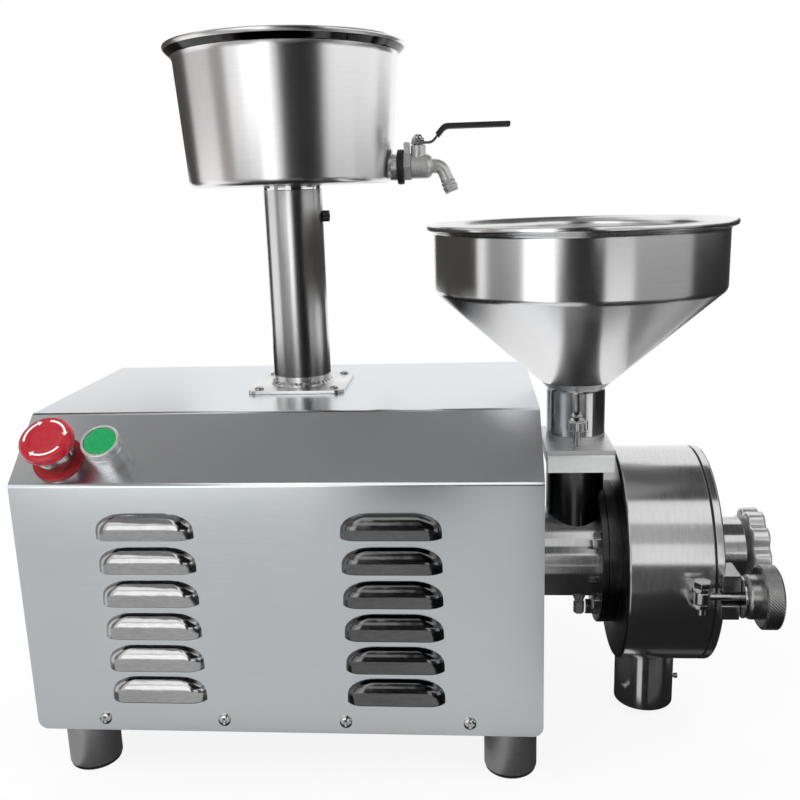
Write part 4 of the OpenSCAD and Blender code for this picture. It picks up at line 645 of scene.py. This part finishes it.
lathe(cap, [(0, 24.0), (10.5, 23.9, 1.0), (12.4, 23.4, 0.5), (12.4, 15), (0, 15)], START_AT, PANEL_OUT)
show("start_green_cap", cap, "start", green, ["start_cap"])

# Mast: a polished tube welded to a square plate, with a notched collar that
# the tank turns on and a black clamp screw in its right side.
MAST_R, MAST_WALL, MAST_TOP, PLATE_W = 25.3, 1.8, 480.7, 84
MAST_AT = (MAST_X, MAST_Y, 0)
MAST_AXIS = (MAST_AT, (0, 0, 1))
mast = bmesh.new()
prism(mast, block_outline(-PLATE_W / 2, -PLATE_W / 2, PLATE_W / 2, PLATE_W / 2, 8), CABINET_TOP, PLATE_TOP,
      facing(MAST_AT), edge=0.6)
lathe(mast, [(MAST_R, PLATE_TOP), (MAST_R, MAST_TOP, 0.4), (MAST_R - MAST_WALL, MAST_TOP, 0.4),
             (MAST_R - MAST_WALL, PLATE_TOP)], MAST_AT, steps=160)


def bead(v):
    """Ripples a weld bead as the torch left it."""
    a = math.atan2(v.co.y, v.co.x)
    v.co.z = PLATE_TOP + (v.co.z - PLATE_TOP) * (1 + 0.12 * math.sin(a * 37) + 0.06 * math.sin(a * 23 + 1))


lathe(mast, [(MAST_R - 0.1, PLATE_TOP + 3.2, 0.4), (MAST_R + 2.2, PLATE_TOP + 2.2, 1.4),
             (MAST_R + 3.4, PLATE_TOP)], MAST_AT, steps=240, shape=bead)
# The tube was polished along its length, so its bands run up and down.
satin_tube = stainless("satin_polished_tube", "ececec", "e0e0e0", 0.30, 0.02, (12, 12, 2), turned=MAST_AXIS)
show("mast_tube_and_plate", mast, "cabinet", satin_tube, ["mast"])

# Collar: a ring with four teeth on the mast's end, polished like a mirror.
polished = stainless("mirror_polished_stainless", "f2f2f3", "e2e2e4", 0.05, 0.025, (12, 12, 60),
                     scratch=0.0015, waves=0.05, wave_size=45)
COLLAR_IN = 23.5
collar = bmesh.new()
lathe(collar, [(COLLAR_IN, MAST_TOP, 0.2), (MAST_R, MAST_TOP, 0.3), (MAST_R, 482.6), (COLLAR_IN, 482.6)],
      MAST_AT, steps=128, ring=True)
for quarter in range(4):
    arc = [math.radians(quarter * 90 - 39 + i * 78 / 20) for i in range(21)]
    outline = ([(MAST_R * math.cos(a), MAST_R * math.sin(a), 0) for a in arc]
               + [(COLLAR_IN * math.cos(a), COLLAR_IN * math.sin(a), 0) for a in reversed(arc)])
    prism(collar, outline, 482.55, 484.5, facing(MAST_AT), edge=0.25)
show("mast_notched_collar", collar, "collar", polished, ["mast_collar"])
clamp = bmesh.new()
lathe(clamp, [(2.9, 23.8), (2.9, 25.4), (4.8, 25.4, 0.3), (4.8, 30.8, 0.5), (2.6, 30.8, 0.2), (2.6, 28.4),
              (0, 28.4)], (MAST_X, MAST_Y, MAST_TOP - 22.7), (1, 0, 0), steps=96,
      shape=lambda v: ribs(v, 24, 4.0, 0.25))
# Blackened steel has a thin oily sheen.
black_oxide = plain("black_oxide_steel", "2a2a2b", "1a1a1b", 0.35, 0.08)
show("mast_clamp_head", clamp, "mast_lock", black_oxide, ["mast_clamp_screw"])

# Tank: a spun bowl with a small foot radius, a slight flare and a rolled rim.
# Spinning left rings round it, so it mirrors its surroundings as upright bands.
TANK_Z, TANK_LOW_R, TANK_HIGH_R, TANK_RIM_R, TANK_H, TANK_T = 484.6, 86.3, 93.4, 100.8, 113.2, 0.8
FLARE_Z, TANK_TOP = TANK_Z + TANK_H - 10, TANK_Z + TANK_H
TAP_Z, WALL_X = 497.0, 292.1
WALL_AT = (WALL_X, MAST_Y, TAP_Z)
bowl = bmesh.new()
lathe(bowl, [(0, TANK_Z), (TANK_LOW_R, TANK_Z, 5.0), (TANK_HIGH_R, FLARE_Z, 3.0),
             (TANK_RIM_R - 0.6, TANK_TOP - 3.6, 1.6), (TANK_RIM_R, TANK_TOP - 1.6, 0.8),
             (TANK_RIM_R - 0.8, TANK_TOP, 0.7), (TANK_RIM_R - 2.6, TANK_TOP - 0.4, 0.8),
             (TANK_RIM_R - 3.0, TANK_TOP - 2.4, 0.8), (TANK_HIGH_R - TANK_T, FLARE_Z + 0.5, 3.0),
             (TANK_LOW_R - TANK_T, TANK_Z + TANK_T, 4.4), (0, TANK_Z + TANK_T)], MAST_AT, steps=256)
lathe(bowl, [(10.1, -1.2), (11.5, -1.2), (11.5, 4.5, 0.5), (10.1, 4.5)], WALL_AT, (1, 0, 0),
      ring=True)
spun_bowl = stainless("spun_polished_bowl", "f6f6f6", "f0efef", 0.29, 0.015, (2, 2, 40), turned=MAST_AXIS,
                      streak=0.72)
# The flare faces the floor; its nearly black colour is painted shade.
flare_painted_shade = stainless("rolled_flare_painted_shade", "4c4c4c", "3c3c3c", 0.12, 0.02, (12, 12, 12))
tank = show("tank_spun_bowl", bowl, "tank", spun_bowl, ["tank_bowl"])
refinish(tank, flare_painted_shade, lambda at, way: FLARE_Z + 0.5 < at.z * 1000 < TANK_TOP - 3.9 and way.z < -0.2)
gasket = bmesh.new()
lathe(gasket, [(10.1, 4.5), (14.5, 4.5, 1.2), (14.5, 10.0, 1.2), (10.1, 10.0)], WALL_AT,
      (1, 0, 0), ring=True)
show("tap_rubber_ring", gasket, "tank", rubber, ["tap_gasket"])

# Tap: cast body with a hexagon, a neck that bends down to a ribbed hose tail
# and a stop tab for the lever, plated with satin nickel that hides its pores.
nickel = stainless("satin_nickel_casting", "d0d0ce", "b4b4b2", 0.36, 0.06, (40, 40, 40), scratch=0.002,
                   waves=0.03, wave_size=8, metal=0.7)
HEX_X, STEM_X, NECK_X = 302.1, 314.4, 325.6
HEX_AT = (HEX_X, MAST_Y, TAP_Z)
tap = bmesh.new()
prism(tap, hexagon(22.0, 0.5), 0, 6, facing(HEX_AT, (1, 0, 0)), edge=0.7,
      holes=[(0, 0, 8.6)])
lathe(tap, [(9.2, 5.9), (10.0, 6.6, 0.4), (10.0, 20.6, 1.2), (8.2, 23.3, 0.8), (6.0, 24.2, 0.5),
            (6.0, 26.0)], HEX_AT, (1, 0, 0))
bend = bmesh.new()
START_BEND, SWEEP, TURN_R, ROUND, BEND_STEPS, STEP = NECK_X + 2.6, 68, 8.5, 48, 10, 1.25
rings = []
for i in range(25):
    a = math.radians(min(1.0, i / BEND_STEPS) * SWEEP)
    centre = Vector((START_BEND + TURN_R * math.sin(a), MAST_Y, TAP_Z - TURN_R * (1 - math.cos(a))))
    down = Vector((math.cos(a), 0, -math.sin(a)))
    past = max(0, i - BEND_STEPS) * STEP
    radius = 6.0 - 0.6 * min(1.0, i / BEND_STEPS)
    if past:
        step = (past - 3.2) % 4.6
        radius = 5.4 + (1.2 * (1 - step / 4.6) if past > 5.0 else 0)
    across = Vector((0, 1, 0))
    other = down.cross(across)
    turns = [math.tau * k / ROUND for k in range(ROUND)]
    rings.append([bend.verts.new(centre + down * past + across * radius * math.cos(t)
                                 + other * radius * math.sin(t)) for t in turns])
rings.append([bend.verts.new(v.co + (centre + down * past - v.co) * 0.35) for v in rings[-1]])
rings.append([bend.verts.new(v.co - down * 6) for v in rings[-1]])
for first, second in zip(rings, rings[1:]):
    for k in range(ROUND):
        bend.faces.new((first[k], first[(k + 1) % ROUND], second[(k + 1) % ROUND], second[k]))
bmesh.ops.recalc_face_normals(bend, faces=bend.faces)
join(tap, bend)
lathe(tap, [(6.6, TAP_Z + 7), (6.3, TAP_Z + 9.5, 0.4), (6.3, TAP_Z + 17.4, 0.6), (3.7, TAP_Z + 17.4)],
      (STEM_X, MAST_Y, 0))
prism(tap, block_outline(0.2, 7.5, 5.2, 20.1, 1.2), -5, 5, facing(HEX_AT, (0, -1, 0)),
      edge=0.5)
show("tap_cast_body", tap, "tank", nickel, ["tap_body"], sharp=38)

# Lever: a strip bent twice, with a dipped rubber sleeve, under a dome nut.
LEVER_Z, LEVER_W, LEVER_T = 515.1, 12, 2.2
LEVER_AT = (STEM_X, MAST_Y, LEVER_Z)
lever = bmesh.new()
FLAT, RUN, RISE, GRIP = 12.5, 11, 13, 53


def strip(s, start):
    """The lever's outline from the side, swollen by a sleeve's thickness."""
    return [(start, -s, 0), (FLAT, -s, 3), (FLAT + RUN, RISE - s, 3),
            (FLAT + RUN + GRIP + s, RISE - s, 1.0),
            (FLAT + RUN + GRIP + s, RISE + LEVER_T + s, 1.0),
            (FLAT + RUN - LEVER_T * 0.5 - s * 0.5, RISE + LEVER_T + s, 3),
            (FLAT - LEVER_T * 0.5 - s * 0.5, LEVER_T + s, 3), (start, LEVER_T + s, 0)]


prism(lever, strip(0, -5.8), -LEVER_W / 2, LEVER_W / 2, facing(LEVER_AT, (0, -1, 0)),
      edge=0.35)
lathe(lever, [(0, 2.3), (5.6, 2.3, 0.3), (5.6, 0), (0, 0)], LEVER_AT)
show("tap_lever_strip", lever, "tap", plated, ["tap_lever"])
sleeve = bmesh.new()
START_AT_RISE = 0.45
prism(sleeve, [(FLAT + RUN * START_AT_RISE, RISE * START_AT_RISE - 1.0, 0.8)] + strip(1.0, 0)[2:6] + [
    (FLAT + RUN * START_AT_RISE - 2.4, RISE * START_AT_RISE + LEVER_T + 0.6, 0.8)], -LEVER_W / 2 - 1.3,
    LEVER_W / 2 + 1.3,
    facing(LEVER_AT, (0, -1, 0)), edge=1.3, segments=4)
show("tap_grip_sleeve", sleeve, "tap", rubber, ["tap_sleeve"])
nut = bmesh.new()
prism(nut, hexagon(9.4, 0.3), LEVER_T, LEVER_T + 3.1, facing(LEVER_AT), edge=0.4)
lathe(nut, [(0, LEVER_T + 6.5), (2.0, LEVER_T + 6.4, 1.0), (4.2, LEVER_T + 4.6, 1.2), (4.3, LEVER_T + 3.0)],
      LEVER_AT)
show("tap_dome_nut", nut, "tap", plated, ["tap_nut"])

# Hopper: a spun cone under a short cylinder, its rim rolled outwards, and a
# neck that drops into the socket ring of the gate frame.
HOP_X, HOP_R, HOP_RIM_R, HOP_TOP, NECK_R, CONE_LOW, CONE_HIGH = 448.5, 122.3, 128.75, 449, 25.4, 306, 392
HOP_AT = (HOP_X, MILL_Y, 0)
HOPPER_AXIS = (HOP_AT, (0, 0, 1))
hopper = bmesh.new()
lathe(hopper, [(23.9, 259.3), (23.9, 265.0), (NECK_R, 265.1, 0.3), (NECK_R, CONE_LOW, 2.5),
               (HOP_R, CONE_HIGH, 3.0), (HOP_R, HOP_TOP - 7.5, 2.0), (HOP_RIM_R - 0.7, HOP_TOP - 5.2, 1.2),
               (HOP_RIM_R, HOP_TOP - 2.6, 1.3), (HOP_RIM_R - 1.4, HOP_TOP, 1.3),
               (HOP_RIM_R - 4.2, HOP_TOP - 1.6, 1.2), (HOP_R - 1.2, HOP_TOP - 6.2, 2.0),
               (HOP_R - 1.2, 392.6, 3.0), (NECK_R - 1.2, 306.6, 2.0), (NECK_R - 2.4, 304),
               (NECK_R - 2.4, 259.3)], HOP_AT, steps=256, ring=True)
# The cylinder was polished brighter than the cone, and the neck is drawn tube.
spun_rim = stainless("spun_polished_cylinder", "f2f2f2", "eaeaea", 0.24, 0.015, (2, 2, 40),
                     turned=HOPPER_AXIS, streak=0.72)
spun_cone = stainless("spun_satin_cone", "f4f4f5", "eeeeef", 0.34, 0.02, (2, 2, 40), turned=HOPPER_AXIS,
                      streak=0.92)
drawn_tube = stainless("drawn_satin_tube", "e0e0e0", "d4d4d4", 0.15, 0.02, (12, 12, 2), turned=HOPPER_AXIS)
cone = show("hopper_spun_cone", hopper, "hopper", spun_rim, ["hopper"])
refinish(cone, drawn_tube, lambda at, way: at.z * 1000 < CONE_LOW)
refinish(cone, spun_cone, lambda at, way: way.z < -0.5 and CONE_LOW - 6 < at.z * 1000 < CONE_HIGH)

# Feed gate: a frame welded from plates, a sliding plate with its front edge
# bent down as a pull, and a knurled screw that holds it.
GATE_X0, GATE_X1, GATE_Y0, GATE_Y1, GATE_LOW, GATE_TOP = 419.5, 477.5, 104.58, 188.08, 248, 259
LAYER_LOW, LAYER_HIGH, GATE_BORE = 252, 255.2, 21.8
gate = bmesh.new()
plate_at = facing((0, 0, 0))
prism(gate, block_outline(GATE_X0, GATE_Y0, GATE_X1, GATE_Y1, 1.0), GATE_LOW, 252.3, plate_at, edge=0.5,
      holes=[(HOP_X, MILL_Y, GATE_BORE)])
prism(gate, block_outline(GATE_X0, GATE_Y0, GATE_X1, GATE_Y1, 1.0), 254.9, GATE_TOP, plate_at, edge=0.5,
      holes=[(HOP_X, MILL_Y, GATE_BORE)])
for x0, x1 in ((GATE_X0 + 0.2, 423.4), (473.6, GATE_X1 - 0.2)):
    prism(gate, block_outline(x0, GATE_Y0 + 0.6, x1, GATE_Y1 - 0.6), LAYER_LOW, LAYER_HIGH, plate_at,
          edge=0.2)
prism(gate, block_outline(423, 182.5, 474, GATE_Y1 - 0.4), LAYER_LOW, LAYER_HIGH, plate_at, edge=0.2)
lathe(gate, [(24.1, GATE_TOP - 0.1), (NECK_R, GATE_TOP - 0.1), (NECK_R, 264.9, 0.4), (24.1, 264.9, 0.4)],
      HOP_AT, steps=128, ring=True)
# A fine cross brushing leaves the welded frame pale and soft.
brushed = stainless("fine_brushed_stainless", "f0f0f0", "e2e2e2", 0.48, 0.05, (80, 4, 80), scratch=0.004)
show("gate_welded_frame", gate, "cabinet", brushed, ["gate_frame"])
slide = bmesh.new()
prism(slide, block_outline(423.7, 103.4, 473.3, 179.7), 252.4, 254.8, plate_at, edge=0.2)
prism(slide, [(101.9, 240.3, 0.3), (104.28, 240.3, 0.3), (104.28, 255.28, 0.3), (101.9, 255.28, 1.6)], 420.6,
      476.4, facing((0, 0, 0), (1, 0, 0)), edge=0.4)
# Bead blasting turns the slide evenly pale.
blasted = stainless("bead_blasted_slide", "f2f2f2", "e6e6e6", 0.42, 0.04, (20, 20, 20), scratch=0.004,
                    metal=0.55)
show("gate_bent_slide", slide, "gate", blasted, ["gate_slide"])
thumb = bmesh.new()
SCREW_X, SCREW_Y, THUMB_R, THUMB_Z0, THUMB_Z1 = 446.18, 112.93, 8.8, 274.0, 284.5
lathe(thumb, [(0, 255), (3, 255), (3, THUMB_Z0 + 1)], (SCREW_X, SCREW_Y, 0), steps=48)
lathe(thumb, [(0, THUMB_Z1), (6.4, THUMB_Z1 - 0.2, 1.0), (THUMB_R, THUMB_Z1 - 1.6, 0.7),
              (THUMB_R, THUMB_Z0 + 1.2, 0.7), (6.8, THUMB_Z0, 0.5), (3, THUMB_Z0)], (SCREW_X, SCREW_Y, 0),
      steps=180, shape=lambda v: ribs(v, 36, 7.6, 0.45))
show("gate_thumb_screw", thumb, "gate_lock", plated, ["gate_screw"])

# Spindle tube, flange and feed tube: thick stainless tube, turned and polished,
# with hexagon screws round the flange and a drain plug underneath.
TUBE_R, FLANGE_R, FLANGE_X = 41, 64, 466
MILL_AXIS = ((0, MILL_Y, MILL_Z), (1, 0, 0))
spindle = bmesh.new()
lathe(spindle, [(13.5, -80), (TUBE_R, -80, 0.5), (TUBE_R, 56), (FLANGE_R, 56, 0.8), (FLANGE_R, 62, 0.8),
                (33, 62)], (CABINET_W, MILL_Y, MILL_Z), (1, 0, 0), steps=160)
# Turning leaves fine rings, which draw each light out along the axis. The faces
# turned to the cabinet get a dark grey, which is painted shade.
turned_x = stainless("turned_satin_stainless", "dededf", "cfcfd0", 0.20, 0.04, (30, 4, 4), turned=MILL_AXIS,
                     streak=0.8)
turned_painted_shade = stainless("turned_stainless_painted_shade", "545454", "444444", 0.3, 0.04, (30, 4, 4), turned=MILL_AXIS,
                        streak=0.6)
tube = show("spindle_tube_and_flange", spindle, "cabinet", turned_x, ["spindle_housing"])
# The flange takes the painted shade.
refinish(tube, turned_painted_shade, lambda at, way: at.x > spot(FLANGE_X - 0.1, 0, 0).x)
# The feed tube under the gate is drawn dark grey: painted shade of the gate and cabinet.
feed_tube_painted_shade = stainless("drawn_tube_painted_shade", "5c5c5c", "4a4a4a", 0.2, 0.03, (12, 12, 2), turned=HOPPER_AXIS)
feed = bmesh.new()


def cope(v):
    """Ends the feed tube inside the wall of the spindle tube."""
    if v.co.z < 200:
        v.co.z = MILL_Z + math.sqrt(COPE_R ** 2 - v.co.y ** 2)


COPE_R = 37
lathe(feed, [(NECK_R, 170), (NECK_R, 248, 0.3), (21.8, 248, 0.3), (21.8, 170)], HOP_AT, steps=128, ring=True,
      shape=cope)
show("feed_drop_tube", feed, "cabinet", feed_tube_painted_shade, ["feed_tube"])
bolts = bmesh.new()
for a in (60, 120, 180, 240, 300):
    turn_at = Matrix.Translation((FLANGE_X, MILL_Y, MILL_Z)) @ Matrix.Rotation(math.radians(a), 4, "X")
    seat = turn_at @ Matrix.Translation((0, 0, 56)) @ Matrix.Rotation(math.radians(90), 4, "Y")
    prism(bolts, hexagon(12.9, 0.3), -6.4, 0, seat, edge=0.8)
    lathe(bolts, [(0, 8.6), (4, 8.6, 0.5), (4, 0), (0, 0)], seat @ Vector((0, 0, 6)), (1, 0, 0), steps=32)
show("flange_hex_screws", bolts, "cabinet", plated, ["hex_bolts"])
drain = bmesh.new()
DRAIN_X = 454
lathe(drain, [(0, 98.7), (3, 98.7), (3, 101, 0.3), (3.6, 101.2), (7.1, 110.0, 0.5), (7.1, 112), (0, 112)],
      (DRAIN_X, MILL_Y, 0), steps=48)
prism(drain, hexagon(8.8, 0.3), 90.1, 101.5, facing((DRAIN_X, MILL_Y, 0)), edge=0.6)
show("drain_hex_plug", drain, "cabinet", nickel, ["drain_plug"])

# Grinding drum: a turned shell with a softly rounded back edge and a thick
# front rim. Its clevis carries the swing bolt, its knuckles the door.
DRUM_X, DRUM_R, DRUM_H, DRUM_WALL, DRUM_FRONT, DRUM_BACK = 481.6, 95, 69.4, 4, 52.5, 244
HINGE_X, HINGE_Y = 551, 256
DOOR_X = DRUM_X + DRUM_H + 0.3
drum = bmesh.new()
lathe(drum, [(33, -9.6), (FLANGE_R - 0.2, -9.6, 0.6), (FLANGE_R - 0.2, 0, 0.4), (DRUM_R, 0, 3.2),
             (DRUM_R, DRUM_H, 0.7), (DRUM_R - DRUM_WALL, DRUM_H, 0.5), (DRUM_R - DRUM_WALL, 6, 2.0),
             (33, 6)], (DRUM_X, MILL_Y, MILL_Z), (1, 0, 0), steps=256, ring=True)
BOLT_X, BOLT_Y, BOLT_Z = 537, 40, 157
BOLT_AT = (BOLT_X, BOLT_Y, BOLT_Z)
for k in (-1, 1):
    prism(drum, [(-9.2, -1.5, 1.5), (-4, -6.4, 2.5), (2.8, -6.4, 2), (6.3, -2.5, 2), (6.3, 14.5),
                 (-9.2, 14.5)], -1.75, 1.75, facing((BOLT_X, BOLT_Y, BOLT_Z + k * 6.9)), edge=0.4)
    knuckle_z = MILL_Z + k * 16.5
    lathe(drum, [(4.1, -7.5), (8, -7.5, 0.5), (8, 7.5, 0.5), (4.1, 7.5)], (HINGE_X, HINGE_Y, knuckle_z),
          steps=64, ring=True)
    prism(drum, block_outline(HINGE_X - 17.5, HINGE_Y - 20, HINGE_X, HINGE_Y - 1, 0.5), -7.4, 7.4,
          facing((0, 0, knuckle_z)), edge=0.5)
shell = show("drum_turned_shell", drum, "cabinet", turned_x, ["chamber_body"])
# The drum's back face and boss take the painted shade.
refinish(shell, turned_painted_shade, lambda at, way: way.x < -0.55 or at.x < spot(DRUM_X, 0, 0).x)
refinish(shell, plated, lambda at, way: at.y < spot(0, DRUM_FRONT, 0).y or at.y > spot(0, DRUM_BACK, 0).y)
outlet = bmesh.new()
SPOUT_R, SPOUT_X = 26.5, 515
lathe(outlet, [(SPOUT_R, 5, 0.4), (SPOUT_R, 66), (25, 66), (25, 5, 0.4)], (SPOUT_X, MILL_Y, 0), steps=128,
      ring=True)
for a in (0, 122, 224):
    way = (math.cos(math.radians(a)), math.sin(math.radians(a)), 0)
    foot = Vector((SPOUT_X, MILL_Y, 26.2)) + Vector(way) * 25.3
    lathe(outlet, [(1.7, 0), (1.7, 2.6), (2.5, 2.9, 0.3), (2.5, 6.0, 0.6), (0, 6.0)], foot, way, steps=40)
# A drawn tube, polished round, shows upright bands.
spout_tube = stainless("satin_outlet_tube", "dcdcdc", "cdcdcd", 0.18, 0.03, (12, 12, 2),
                       turned=((SPOUT_X, MILL_Y, 0), (0, 0, 1)))
show("outlet_tube", outlet, "cabinet", spout_tube, ["outlet_spout"])
pins = bmesh.new()
lathe(pins, [(0, MILL_Z - 24.9), (4, MILL_Z - 24.9, 0.5), (4, MILL_Z + 24), (6.4, MILL_Z + 24, 0.3),
             (6.4, MILL_Z + 27.4, 0.8), (0, MILL_Z + 27.4)], (HINGE_X, HINGE_Y, 0), steps=48)
lathe(pins, [(0, BOLT_Z - 15.4), (3, BOLT_Z - 15.4, 0.5), (3, BOLT_Z + 9), (0, BOLT_Z + 9)],
      (BOLT_X, BOLT_Y, 0), steps=40)
prism(pins, hexagon(12.4, 0.3), BOLT_Z + 8.95, BOLT_Z + 13.2, facing((BOLT_X, BOLT_Y, 0), spin=10),
      edge=0.7)
show("pivot_pin_set", pins, "cabinet", plated, ["pivot_pins"])

# Door: a flat disc with a turned hub for the adjuster, a slotted lug for the
# swing bolt and a hinge knuckle, closed by a black gasket.
HUB_R = 30
DOOR_AT = (DOOR_X, MILL_Y, MILL_Z)
door = bmesh.new()
lathe(door, [(0, 1.0), (DRUM_R - 9.5, 0), (DRUM_R - 9.5, 1.4), (DRUM_R, 1.4, 0.3), (DRUM_R, 8, 1.8),
             (HUB_R, 8, 1.0), (HUB_R, 44.2, 1.2), (9.1, 44.2)], DOOR_AT, (1, 0, 0),
      steps=256)
for low, high in ((-18.7, -4), (4, 18.7)):
    prism(door, [(37.2, low + 1, 0.8), (44 if low > 0 else 37.2, low), (64, low), (64, high),
                 (37.2 if low > 0 else 44, high), (37.2, high - 3, 0.8)], DOOR_X + 0.5, DOOR_X + 14.6,
          facing((0, 0, BOLT_Z), (1, 0, 0)), edge=0.6)
prism(door, block_outline(44.2, -5, 64, 5, 0), DOOR_X + 0.5, DOOR_X + 14.5,
      facing((0, 0, BOLT_Z), (1, 0, 0)), edge=0.2)
lathe(door, [(4.1, -8.6), (8, -8.6, 0.5), (8, 8.6, 0.5), (4.1, 8.6)], (HINGE_X, HINGE_Y, MILL_Z), steps=64,
      ring=True)
prism(door, block_outline(DOOR_X + 0.3, HINGE_Y - 22, DOOR_X + 7.8, HINGE_Y - 1, 0.5), -8.5, 8.5,
      facing((0, 0, MILL_Z)), edge=0.5)
disc = show("door_disc_and_hub", door, "door", turned_x, ["chamber_door"])
# Lug and clamp nut are handled most, so their turned faces are worn smooth.
worn_steel = stainless("worn_turned_steel", "bcbcbb", "a6a6a5", 0.27, 0.03, (5, 5, 5))
refinish(disc, worn_steel, lambda at, way: at.y < spot(0, DRUM_FRONT, 0).y)
seal = bmesh.new()
lathe(seal, [(DRUM_R - 9.4, -0.2), (DRUM_R - 0.6, -0.2, 0.2), (DRUM_R - 0.6, 1.35), (DRUM_R - 9.4, 1.35)],
      DOOR_AT, (1, 0, 0), steps=192, ring=True)
show("door_rubber_seal", seal, "door", rubber, ["door_gasket"])

# Adjusting knob: a ten lobed star, cast and then chromed to a soft satin, on a
# plain turned stem.
KNOB_X0, KNOB_X1, LOBES, LOBE_DEPTH, KNOB_R = 598.5, 614.0, 10, 4.4, 38
knob = bmesh.new()
outline = []
for i in range(300):
    a = math.tau * i / 300
    wave = 0.5 - 0.5 * math.cos(LOBES * (a - math.radians(101)))
    r = KNOB_R - LOBE_DEPTH * wave ** 2.0
    outline.append((r * math.cos(a), r * math.sin(a), 0))
prism(knob, outline, KNOB_X0 + 0.1, KNOB_X1, facing((0, MILL_Y, MILL_Z), (1, 0, 0)), edge=2.4, segments=5)
lathe(knob, [(0, 574), (9, 574, 0.5), (9, 599), (0, 599)], (0, MILL_Y, MILL_Z), (1, 0, 0))
show("adjuster_star_knob", knob, "adjuster", satin_chrome, ["adjust_knob"], sharp=60)

# Swing bolt, washer and clamp nut: the nut has a smooth boss and a flange with
# a diamond knurl.
swing = bmesh.new()
lathe(swing, [(3.1, -5), (6.5, -5, 1.0), (6.5, 5, 1.0), (3.1, 5)], BOLT_AT, steps=64,
      ring=True)


def thread(v):
    """Cuts a thread on the bolt beyond its plain shank."""
    if v.co.z > 22 and math.hypot(v.co.x, v.co.y) > 2.5:
        a = math.atan2(v.co.y, v.co.x) / math.tau
        cut = 0.3 * abs(((v.co.z / 1.25 + a) % 1) * 2 - 1)
        shrink = 1 - cut / 3.0
        v.co.x, v.co.y = v.co.x * shrink, v.co.y * shrink


lathe(swing, [(2.9, 4)] + [(3, 5 + i * 0.31) for i in range(166)] + [(2.5, 56.9), (0, 57)],
      BOLT_AT, (1, 0, 0), steps=32, shape=thread)
show("swing_bolt_and_eye", swing, "swing", plated, ["swing_bolt"], sharp=60)
washer = bmesh.new()
lathe(washer, [(3.1, 0), (16.6, 0, 0.3), (16.6, 1.7, 0.3), (3.1, 1.7)], (566.3, BOLT_Y, BOLT_Z), (1, 0, 0),
      ring=True)
show("clamp_flat_washer", washer, "washer", plated, ["clamp_washer"])
NUT_X, BOSS_R, BOSS_H, GRIP_R, GRIP_H, KNURLS = 568.0, 17.5, 12, 25.5, 17, 64
clamp_nut = bmesh.new()
lathe(clamp_nut, [(3.1, 0), (BOSS_R - 3.5, 0, 0.8), (BOSS_R, 3.5, 1.0), (BOSS_R, BOSS_H + 0.2)],
      (NUT_X, BOLT_Y, BOLT_Z), (1, 0, 0), steps=128)


def knurl(v):
    """Presses a diamond knurl into the flange's edge."""
    r = math.hypot(v.co.x, v.co.y)
    if r > GRIP_R - 0.3:
        turn = math.atan2(v.co.y, v.co.x) / math.tau * KNURLS
        along = v.co.z / (math.tau * GRIP_R / KNURLS)
        cut = 0.0
        for way in (turn + along, turn - along):
            cut += 0.3 * abs((way % 1) * 2 - 1)
        v.co.x, v.co.y = v.co.x * (1 - cut / r), v.co.y * (1 - cut / r)


rim = [(GRIP_R, BOSS_H + 1.6 + i * (GRIP_H - 6.2) / 36, 0) for i in range(37)]
lathe(clamp_nut, [(BOSS_R - 1, BOSS_H), (GRIP_R - 2.2, BOSS_H, 0.5),
                  (GRIP_R - 0.7, BOSS_H + 1.2, 0.3)] + rim + [(GRIP_R - 0.8, BOSS_H + GRIP_H - 4.2, 0.3),
                                                              (GRIP_R - 3.0, BOSS_H + GRIP_H - 2.6, 1.0),
                                                              (GRIP_R - 12.0, BOSS_H + GRIP_H, 1.5),
                                                              (3.1, BOSS_H + GRIP_H)],
      (NUT_X, BOLT_Y, BOLT_Z), (1, 0, 0), steps=384, shape=knurl)
show("clamp_knurled_nut", clamp_nut, "nut", worn_steel, ["clamp_nut"], sharp=70)

# Cable gland: black nylon, at the back of the cabinet.
nylon = plain("black_moulded_nylon", "222222", "171717", 0.42, 0.08, scale=700.0)
gland = bmesh.new()
GLAND_AT = (60, CABINET_D, 96.48)
prism(gland, hexagon(19, 0.4), 0, 5, facing(GLAND_AT, (0, 1, 0)), edge=0.6)
lathe(gland, [(4.6, 4.9), (8.8, 4.9), (8.8, 8.6, 0.3), (9.3, 8.7, 0.3), (8.4, 12.9, 1.6), (4.6, 12.9, 0.5),
              (4.6, 6)], GLAND_AT, (0, 1, 0), shape=lambda v: ribs(v, 20, 8.2, 0.35))
lathe(gland, [(4.6, 12.9, 0.5), (4.6, -10)], GLAND_AT, (0, 1, 0))
show("cable_gland_body", gland, "cabinet", nylon, ["cable_gland"])

# Inside: the drive and the electrics keep their construction shapes. Their
# metals are turned, ground or drawn and their plastics moulded.
machined = stainless("turned_steel", "b8b8ba", "8c8c8f", 0.3, 0.08, (8, 60, 60), scratch=0.03)
enamel = plain("grey_blue_motor_enamel", "5f6d79", "55626d", 0.4, 0.08, scale=300.0, bump=0.05)
disc_steel = stainless("ground_disc_steel", "8d8d8f", "6a6a6c", 0.42, 0.1, (30, 30, 30), scratch=0.06)
polyurethane = plain("red_polyurethane", "a8281f", "93221a", 0.45, 0.06)
brass = stainless("machined_brass", "d8b468", "c29a4c", 0.24, 0.06, (40, 40, 40), scratch=0.02)
can = stainless("drawn_aluminium", "d6d6d8", "c2c2c5", 0.32, 0.05, (60, 8, 60), scratch=0.02)
for finish, names in (
        (machined, ("motor_rotor", "coupling_hubs", "mill_shaft", "mill_bearings", "disc_carrier",
                    "estop_stem", "tank_post", "tap_stem_part", "spindle_pedestal")),
        (enamel, ("motor_casing",)), (disc_steel, ("rotating_disc", "fixed_disc")),
        (polyurethane, ("coupling_spider",)), (brass, ("tap_locknut",)), (can, ("capacitor",)),
        (nylon, ("switch_blocks", "contactor", "motor_cowl", "motor_fan")),
        (rubber, ("shaft_seal",))):
    for name in names:
        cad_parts[name].data.materials[0] = finish
